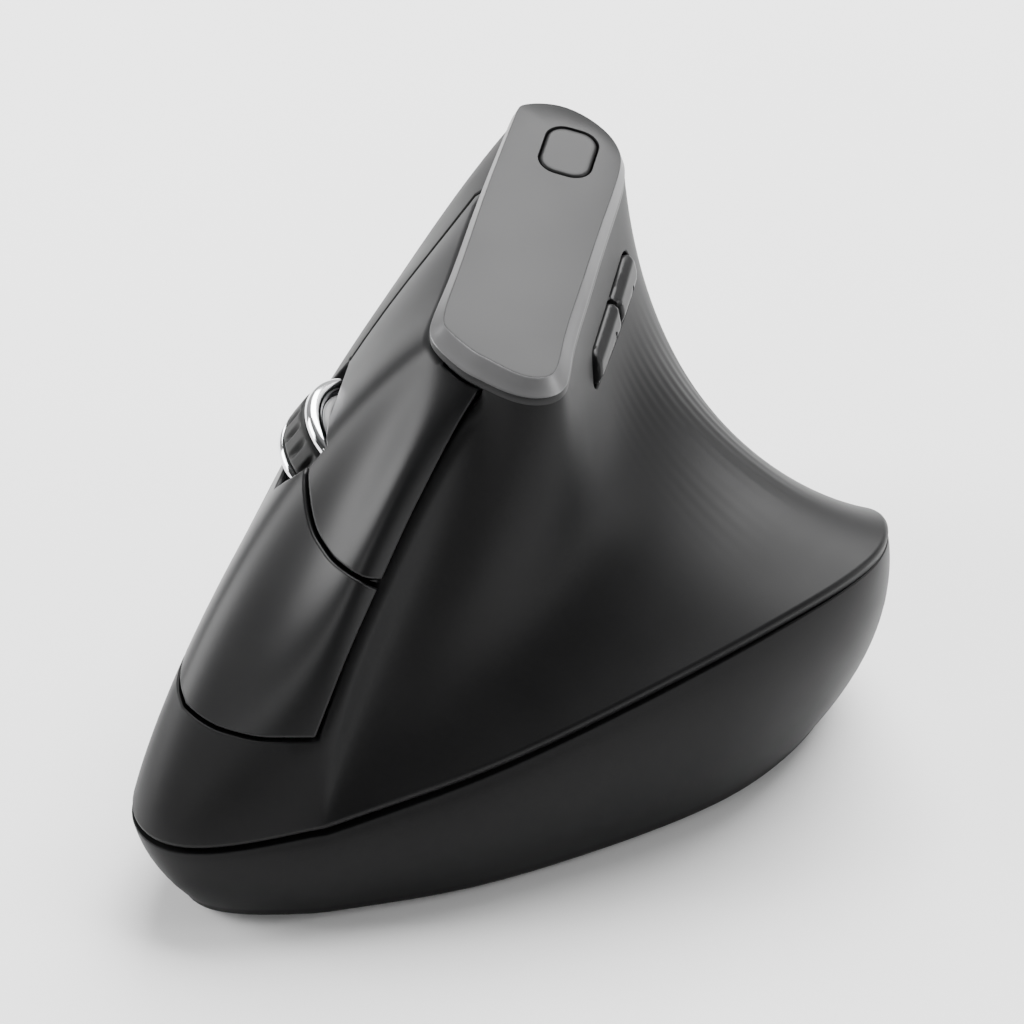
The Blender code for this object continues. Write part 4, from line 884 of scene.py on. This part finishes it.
# how far in the chamfer reaches, for each ray
CHAMFERS = (2.6, 2.3, 1.7, 1.3, 1.15, 1.0, 0.85, 0.65, 0.5, 0.45, 0.5, 0.7, 0.9, 1.1, 1.3, 1.7, 2.3, 2.6)
PLATE_TOP = FIT + PLATE_THICK
DPI_GAP = 0.2
DPI_HOLE = ((DPI_GAP + 0.1, PLATE_TOP - 0.05), (DPI_GAP, PLATE_TOP - 0.2), (DPI_GAP, PLATE_SEAT))
DPI_PROFILE = ((0, -0.4), (0, PLATE_TOP - 0.55), (-0.06, PLATE_TOP - 0.3), (-0.22, PLATE_TOP - 0.1),
               (-0.5, PLATE_TOP), (-0.9, PLATE_TOP + 0.02))  # (mm out, height)


def cap(outer, hole):
    """Triangles between two plane loops, as indices into outer + hole."""
    loops = [np.array(outer)[:, :2], np.array(hole)[:, :2]]
    points = np.concatenate(loops)
    plan = [Vector(point) for point in points]
    faces = np.array(delaunay_2d_cdt(plan, loop_edges(loops), [], 0, 1e-9, False)[2])
    middle = points[faces].mean(1)
    return faces[inside(middle, loops[0]) & ~inside(middle, loops[1])]


def top_plate():
    """The plate with its chamfer, whose faces take the second material, and the DPI button's hole."""
    edge = SKIN.at(TURN, 0.0)[:, :2]
    inset = ClosedCurve([(reach, 0) for reach in CHAMFERS]).at(TURN)[:, 0]
    rings = [[(x, y, plate_height(x, y) + PLATE_SEAT) for x, y in edge]]
    for share, rise in CHAMFER_STEPS:
        plan = edge - outward(edge) * (inset * share)[:, None]
        height = [plate_height(x, y) + PLATE_EDGE + (PLATE_TOP - PLATE_EDGE) * rise for x, y in plan]
        rings.append([(x, y, z) for (x, y), z in zip(plan, height)])
    rim = [PLATE @ Vector((x, y, PLATE_TOP)) for x, y in dpi_outline(DPI_GAP + 0.3)]
    hole = [[tuple(Vector((p.x, p.y, plate_height(p.x, p.y) + PLATE_TOP))) for p in rim]]
    for grow, height in DPI_HOLE:
        hole.append([tuple(PLATE @ Vector((x, y, height))) for x, y in dpi_outline(grow)])
    points, faces = strips(rings)
    more, hole_faces = strips(hole)
    first, around, across = len(points), len(rings[0]), len(hole[0])
    inner, end = first - around, first + len(more)
    faces += [tuple(index + first for index in face[::-1]) for face in hole_faces]
    number = [*range(inner, first), *range(first, first + across)]
    faces += [tuple(number[i] for i in face) for face in cap(rings[-1], hole[0]).tolist()]
    number = [*range(around), *range(end - across, end)]
    faces += [tuple(number[i] for i in face[::-1]) for face in cap(rings[0], hole[-1]).tolist()]
    plate = solid("plate_body", points + more, faces, sharp=50)
    for polygon in plate.data.polygons[around:inner - around]:
        polygon.material_index = 1
    return plate


def dpi_button():
    rings = [[(x, y, z) for x, y in dpi_outline(grow)] for grow, z in DPI_PROFILE]
    return lofted("dpi_cap", rings, PLATE, 50)


# -------- the wheel (mm)

GROOVES, GROOVE_DEPTH, GROOVE_HALF = 22, 0.62, 2.1
CORE = WHEEL_RADIUS - 2.6  # radius of the hub
TREAD_CORNER = ((0.95, 0.0), (0.35, 0.15), (0.08, 0.5))  # mm under the tread and in from its side
HUB_HALF = ((1.25, 0.5), (1.6, 0.3), (CORE - 1.2, 0.3), (CORE - 0.3, 0.45), (CORE, 0.8))  # radius, mm in


def axle_frame():
    turn = WHEEL.to_3x3()
    return frame_of(turn @ Vector((1, 0, 0)), turn @ Vector((0, 1, 0)), WHEEL_CENTRE)


def spun(name, profile, steps=144, dent=None):
    """A ring turned round the wheel's axle from a closed profile of (radius, height)."""
    rings = []
    for step in range(steps):
        angle = 2 * math.pi * step / steps
        cut = [(radius - (dent(angle, radius, z) if dent else 0), z) for radius, z in profile]
        rings.append([(r * math.cos(angle), r * math.sin(angle), z) for r, z in cut])
    return solid(name, *strips(rings, closed=True), axle_frame(), 40)


def tread_dent(angle, radius, height):
    """Shallow oval grooves across the tread."""
    if radius < WHEEL_RADIUS - 0.8:
        return 0
    wave = max(0.0, math.cos(GROOVES * angle))**2
    return GROOVE_DEPTH * wave * max(0.0, 1 - (height / GROOVE_HALF)**2)


def mirrored(profile):
    return [(r, -z) for r, z in reversed(profile)]


def wheel():
    half = WHEEL_WIDTH / 2
    rim = half - RING_WIDTH
    edge = rim - 0.25
    side = [(CORE + FIT, -edge), *((WHEEL_RADIUS - cut, -edge + rise) for cut, rise in TREAD_CORNER)]
    tread = [(WHEEL_RADIUS, z) for z in np.linspace(-edge + 0.9, edge - 0.9, 11)]
    tyre = spun("wheel_tread", side + tread + mirrored(side), 352, tread_dent)
    ring = [(CORE + 0.2, rim), (WHEEL_RADIUS - 0.5, rim), (WHEEL_RADIUS - 0.25, rim + 0.1)]
    ring.append((WHEEL_RADIUS - 0.12, rim + 0.35))
    for angle in np.radians(np.linspace(0, 90, 8)):
        ring.append((WHEEL_RADIUS - 1.15 + 1.0 * math.cos(angle), half - 0.9 + 0.9 * math.sin(angle)))
    ring += [(CORE + 1.0, half - 0.05), (CORE + 0.7, half - 0.2), (CORE + 0.55, half - 0.6)]
    ring.append((CORE + 0.2, half - 0.8))
    upper = spun("wheel_band_upper", ring)
    lower = spun("wheel_band_lower", [(r, -z) for r, z in ring])
    hub = [(radius, -half + rise) for radius, rise in HUB_HALF]
    return tyre, upper, lower, spun("wheel_core", hub + mirrored(hub))


# -------- materials

class Finish:
    """A node material with helpers for its patterns; scales are in waves per metre."""

    def __init__(self, name, colour, roughness, metallic=0.0, **sockets):
        self.material = bpy.data.materials.new("look_" + name)
        self.material.use_nodes = True
        self.tree = self.material.node_tree
        self.shader = self.tree.nodes["Principled BSDF"]
        self.shader.inputs["Roughness"].default_value = roughness
        self.shader.inputs["Metallic"].default_value = metallic
        self.shader.inputs["Base Color"].default_value = (*colour, 1)
        for socket, value in sockets.items():
            self.shader.inputs[socket.replace("_", " ")].default_value = value
        self.place = self.node("ShaderNodeTexCoord").outputs["Object"]
        self.normal = None

    def node(self, kind, **values):
        made = self.tree.nodes.new(kind)
        for name, value in values.items():
            made.inputs[name.replace("_", " ")].default_value = value
        return made

    def link(self, output, target):
        self.tree.links.new(output, target)

    def noise(self, scale, detail=3.0, stretch=None):
        made = self.node("ShaderNodeTexNoise", Scale=scale, Detail=detail)
        place = self.place
        if stretch:
            mapping = self.node("ShaderNodeMapping", Scale=stretch)
            self.link(place, mapping.inputs["Vector"])
            place = mapping.outputs["Vector"]
        self.link(place, made.inputs["Vector"])
        return made.outputs["Fac"]

    def spread(self, factor, low, high):
        """Maps a 0.3 to 0.7 factor onto low to high."""
        made = self.node("ShaderNodeMapRange", From_Min=0.3, From_Max=0.7, To_Min=low, To_Max=high)
        self.link(factor, made.inputs["Value"])
        return made.outputs["Result"]

    def colours(self, factor, first, second, low=0.35, high=0.65):
        ramp = self.node("ShaderNodeValToRGB")
        for stop, place, colour in zip(ramp.color_ramp.elements, (low, high), (first, second)):
            stop.position, stop.color = place, (*colour, 1)
        self.link(factor, ramp.inputs["Fac"])
        return ramp.outputs["Color"]

    def paint(self, colour):
        self.link(colour, self.shader.inputs["Base Color"])
        return self

    def rough(self, value):
        self.link(value, self.shader.inputs["Roughness"])
        return self

    def bump(self, height, distance):
        made = self.node("ShaderNodeBump", Strength=1.0, Distance=distance)
        self.link(height, made.inputs["Height"])
        if self.normal:
            self.link(self.normal, made.inputs["Normal"])
        self.normal = made.outputs["Normal"]
        self.link(self.normal, self.shader.inputs["Normal"])
        return self


def tone(colour, factor):
    return tuple(min(1.0, channel * factor) for channel in colour)


def moulded(name, colour, roughness, grain, bump, spread, metallic=0.0, specular=0.5):
    """Moulded plastic or painted metal: fine grain, slight wear and cloudy gloss."""
    made = Finish(name, colour, roughness, metallic, Specular_IOR_Level=specular)
    fine, cloud = made.noise(grain, 4), made.noise(60, 3)
    made.paint(made.colours(cloud, tone(colour, 0.92), tone(colour, 1.08)))
    made.rough(made.spread(cloud, roughness - spread, roughness + spread))
    return made.bump(fine, bump)


def brushed(name, colour, roughness, stretch):
    made = Finish(name, colour, roughness, 1.0)
    lines, cloud = made.noise(900, 3, stretch), made.noise(140, 2)
    made.paint(made.colours(lines, tone(colour, 0.85), colour))
    made.rough(made.spread(cloud, roughness * 0.8, roughness * 1.25))
    return made.bump(lines, 4e-6)


def circuit():
    """Green board with tracks, pads and a slight weave."""
    made = Finish("board", (0.01, 0.09, 0.035), 0.35, 0.0, Coat_Weight=0.4)
    green, dark, track = (0.012, 0.12, 0.045, 1), (0.01, 0.09, 0.035, 1), (0.03, 0.22, 0.09, 1)
    tracks = made.node("ShaderNodeTexBrick", Scale=180.0, Color1=green, Color2=dark, Mortar=track,
                       Mortar_Size=0.03)
    made.link(made.place, tracks.inputs["Vector"])
    made.paint(tracks.outputs["Color"])
    return made.bump(tracks.outputs["Fac"], 2e-5).bump(made.noise(3000, 2), 4e-6)


def wrapped_cell():
    """Printed foil in two plain bands along the cell, with a fine sheen."""
    made = Finish("cell", (0.05, 0.12, 0.35), 0.25, 0.35, Coat_Weight=0.6)
    parts = made.node("ShaderNodeSeparateXYZ")
    made.link(made.place, parts.inputs["Vector"])
    band = made.node("ShaderNodeMapRange", From_Min=0.022, From_Max=0.0222)
    made.link(parts.outputs["Y"], band.inputs["Value"])
    made.paint(made.colours(band.outputs["Result"], (0.05, 0.12, 0.33), (0.55, 0.53, 0.48), 0.4, 0.6))
    return made.rough(made.spread(made.noise(300, 3), 0.2, 0.35)).bump(made.noise(1500, 3), 5e-6)


def clear_lens():
    made = Finish("lens", (0.85, 0.9, 0.92), 0.08, 0.0, Transmission_Weight=0.9, IOR=1.5)
    return made.rough(made.spread(made.noise(500, 3), 0.04, 0.14)).bump(made.noise(900, 2), 4e-6)


MOULDINGS = {  # colour, roughness, grain per metre, bump in metres, spread of roughness, metallic, specular
    "soft_touch": ((0.006, 0.006, 0.0063), 0.48, 5200, 7e-6, 0.04, 0.0, 0.15),
    "base": ((0.005, 0.005, 0.0053), 0.45, 4200, 9e-6, 0.04, 0.0, 0.13),
    "button": ((0.008, 0.008, 0.0084), 0.38, 4600, 5e-6, 0.03, 0.0, 0.2),
    "thumb_button": ((0.008, 0.008, 0.0084), 0.36, 4600, 6e-6, 0.04, 0.0, 0.2),
    "plate": ((0.019, 0.019, 0.0194), 0.42, 5600, 7e-6, 0.03, 0.3, 0.2),
    "chamfer": ((0.15, 0.15, 0.152), 0.4, 5600, 4e-6, 0.03, 0.75, 0.5),
    "chrome": ((0.86, 0.86, 0.88), 0.1, 900, 2e-6, 0.03, 1.0, 0.5),
    "rubber": ((0.009, 0.009, 0.009), 0.6, 3200, 1.6e-5, 0.06, 0.0, 0.3),
    "disc": ((0.07, 0.07, 0.072), 0.35, 3600, 6e-6, 0.05),
    "inner": ((0.03, 0.03, 0.031), 0.5, 2400, 1.4e-5, 0.06),
    "chip": ((0.018, 0.018, 0.019), 0.42, 3800, 1.2e-5, 0.06),
    "switch": ((0.06, 0.065, 0.07), 0.38, 2600, 8e-6, 0.06),
    "plunger": ((0.45, 0.03, 0.02), 0.35, 2600, 6e-6, 0.05),
    "glide": ((0.03, 0.03, 0.031), 0.32, 1800, 1e-5, 0.07),
}
SLOT_FINISH = {
    "base_soft": "base", "body_soft": "soft_touch", "plate_satin": "plate", "dpi_satin": "plate",
    "button_satin": "button", "thumb_satin": "thumb_button", "tyre_rubber": "rubber", "ring_chrome": "chrome",
    "inner_plastic": "inner", "steel": "steel", "chip": "chip", "board": "board", "switch_body": "switch",
    "switch_red": "plunger", "lens_clear": "lens", "cell_wrap": "cell", "glide": "glide",
}


def finishes():
    made = {name: moulded(name, *values) for name, values in MOULDINGS.items()}
    made["steel"] = brushed("steel", (0.55, 0.55, 0.57), 0.28, (1, 12, 1))
    made.update(board=circuit(), cell=wrapped_cell(), lens=clear_lens())
    return {name: finish.material for name, finish in made.items()}


def dress(obj, *materials):
    """Gives the materials to the object's faces, which keep the slot numbers that they were made with."""
    numbers = [face.material_index for face in obj.data.polygons]
    obj.data.materials.clear()
    for material in materials:
        obj.data.materials.append(material)
    obj.data.polygons.foreach_set("material_index", numbers)


def dress_frame(looks):
    """Gives every carried-over CAD node the finish of its slot."""
    slots = {part["node"]: part["material_slot"] for part in frame["record"]["subparts"]}
    for name, obj in frame["nodes"].items():
        material = looks[SLOT_FINISH[slots[name]]]
        for slot in obj.material_slots:
            slot.material = material
        if not obj.material_slots:
            obj.data.materials.append(material)


def stands_for(piece, body, slot, node, *materials):
    """Dresses a piece that rides a body and replaces a CAD node."""
    dress(piece, *materials)
    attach(piece, body)
    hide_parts(node)


# -------- camera, floor and light (m, W)

TARGET, TOWARDS_CAMERA, AWAY = Vector((-0.0077, 0.0018, 0.035)), (30, 38), 0.42
SENSOR, LENS = 36, 106.3125
FLOOR_HALF = 4
ROOM = {"From Min": -0.6, "From Max": 0.9, "To Min": 0.05, "To Max": 0.7}  # brightness along y
LIT = (0, 0, 0.04)  # where the soft boxes point
SOFTBOXES = (  # name, place, size, watts
    ("left", (-0.72, -0.3, 0.32), (0.4, 0.5), 9),
    ("top", (-0.1, 0.75, 1.1), (1.3, 1.0), 62),
    ("front", (-0.2, -0.95, 0.45), (0.35, 0.25), 2.2),
    ("right", (0.75, 0.35, 0.3), (0.2, 0.6), 3),
)


def stand(name, data, place, target):
    """Puts a camera or a lamp at a place, facing a target."""
    obj = put(name, data)
    way = Vector(target) - Vector(place)
    obj.location, obj.rotation_euler = place, way.to_track_quat("-Z", "Y").to_euler()
    return obj


def camera():
    data = bpy.data.cameras.new("camera")
    data.sensor_width, data.lens = SENSOR, LENS
    data.clip_start, data.clip_end = 0.01, 20
    place = TARGET + AWAY * direction(*TOWARDS_CAMERA)
    bpy.context.scene.camera = stand("camera", data, place, TARGET)


def floor():
    mesh, h = bpy.data.meshes.new("floor"), FLOOR_HALF
    mesh.from_pydata([(-h, -h, 0), (h, -h, 0), (h, h, 0), (-h, h, 0)], [], [(0, 1, 2, 3)])
    obj = put("floor", mesh)
    made = Finish("floor", (0.92, 0.92, 0.92), 0.8)
    made.paint(made.colours(made.noise(6, 3), (0.9, 0.9, 0.9), (0.94, 0.94, 0.94)))
    made.bump(made.noise(300, 3), 1e-5)
    dress(obj, made.material)


def studio():
    """A dim room that is brighter behind, with soft boxes at the left, above, in front and at the right."""
    world = bpy.data.worlds.new("studio")
    world.use_nodes = True
    tree = world.node_tree
    back = tree.nodes["Background"]
    place, parts = tree.nodes.new("ShaderNodeTexCoord"), tree.nodes.new("ShaderNodeSeparateXYZ")
    reach = tree.nodes.new("ShaderNodeMapRange")
    for name, value in ROOM.items():
        reach.inputs[name].default_value = value
    tree.links.new(place.outputs["Generated"], parts.inputs["Vector"])
    tree.links.new(parts.outputs["Y"], reach.inputs["Value"])
    tree.links.new(reach.outputs["Result"], back.inputs["Strength"])
    back.inputs["Color"].default_value = (1, 1, 1, 1)
    bpy.context.scene.world = world
    for name, place, size, watts in SOFTBOXES:
        data = bpy.data.lights.new(name, "AREA")
        data.shape, data.size, data.size_y, data.energy = "RECTANGLE", *size, watts
        stand(name, data, place, LIT)


# -------- the whole picture

def build():
    looks = finishes()
    dress_frame(looks)
    stands_for(upper_shell(), "root", "body_soft", "upper_shell", looks["soft_touch"])
    stands_for(base_shell(), "root", "base_soft", "base_shell", looks["base"])
    stands_for(top_plate(), "root", "plate_satin", "top_plate", looks["plate"], looks["chamfer"])
    for side, loop in (("left", left_button_loop()), ("right", right_button_loop())):
        button = click_button(side + "_key", loop)
        stands_for(button, side + "_click", "button_satin", side + "_click_button", looks["button"])
    thumbs = ("forward", FORWARD_BUTTON, FORWARD_ARROW), ("back", BACK_BUTTON, BACK_ARROW)
    for side, outline, arrow in thumbs:
        button = thumb_button(side + "_key", outline, arrow)
        stands_for(button, side + "_press", "thumb_satin", side + "_button", looks["thumb_button"])
    stands_for(dpi_button(), "dpi_press", "dpi_satin", "dpi_button", looks["plate"])
    rolling = (("wheel_tyre", "tyre_rubber", "rubber"), ("wheel_ring_upper", "ring_chrome", "chrome"),
               ("wheel_ring_lower", "ring_chrome", "chrome"), ("wheel_hub", "inner_plastic", "disc"))
    for piece, (node, slot, look) in zip(wheel(), rolling):
        stands_for(piece, "wheel", slot, node, looks[look])
    floor()
    camera()
    studio()


build()
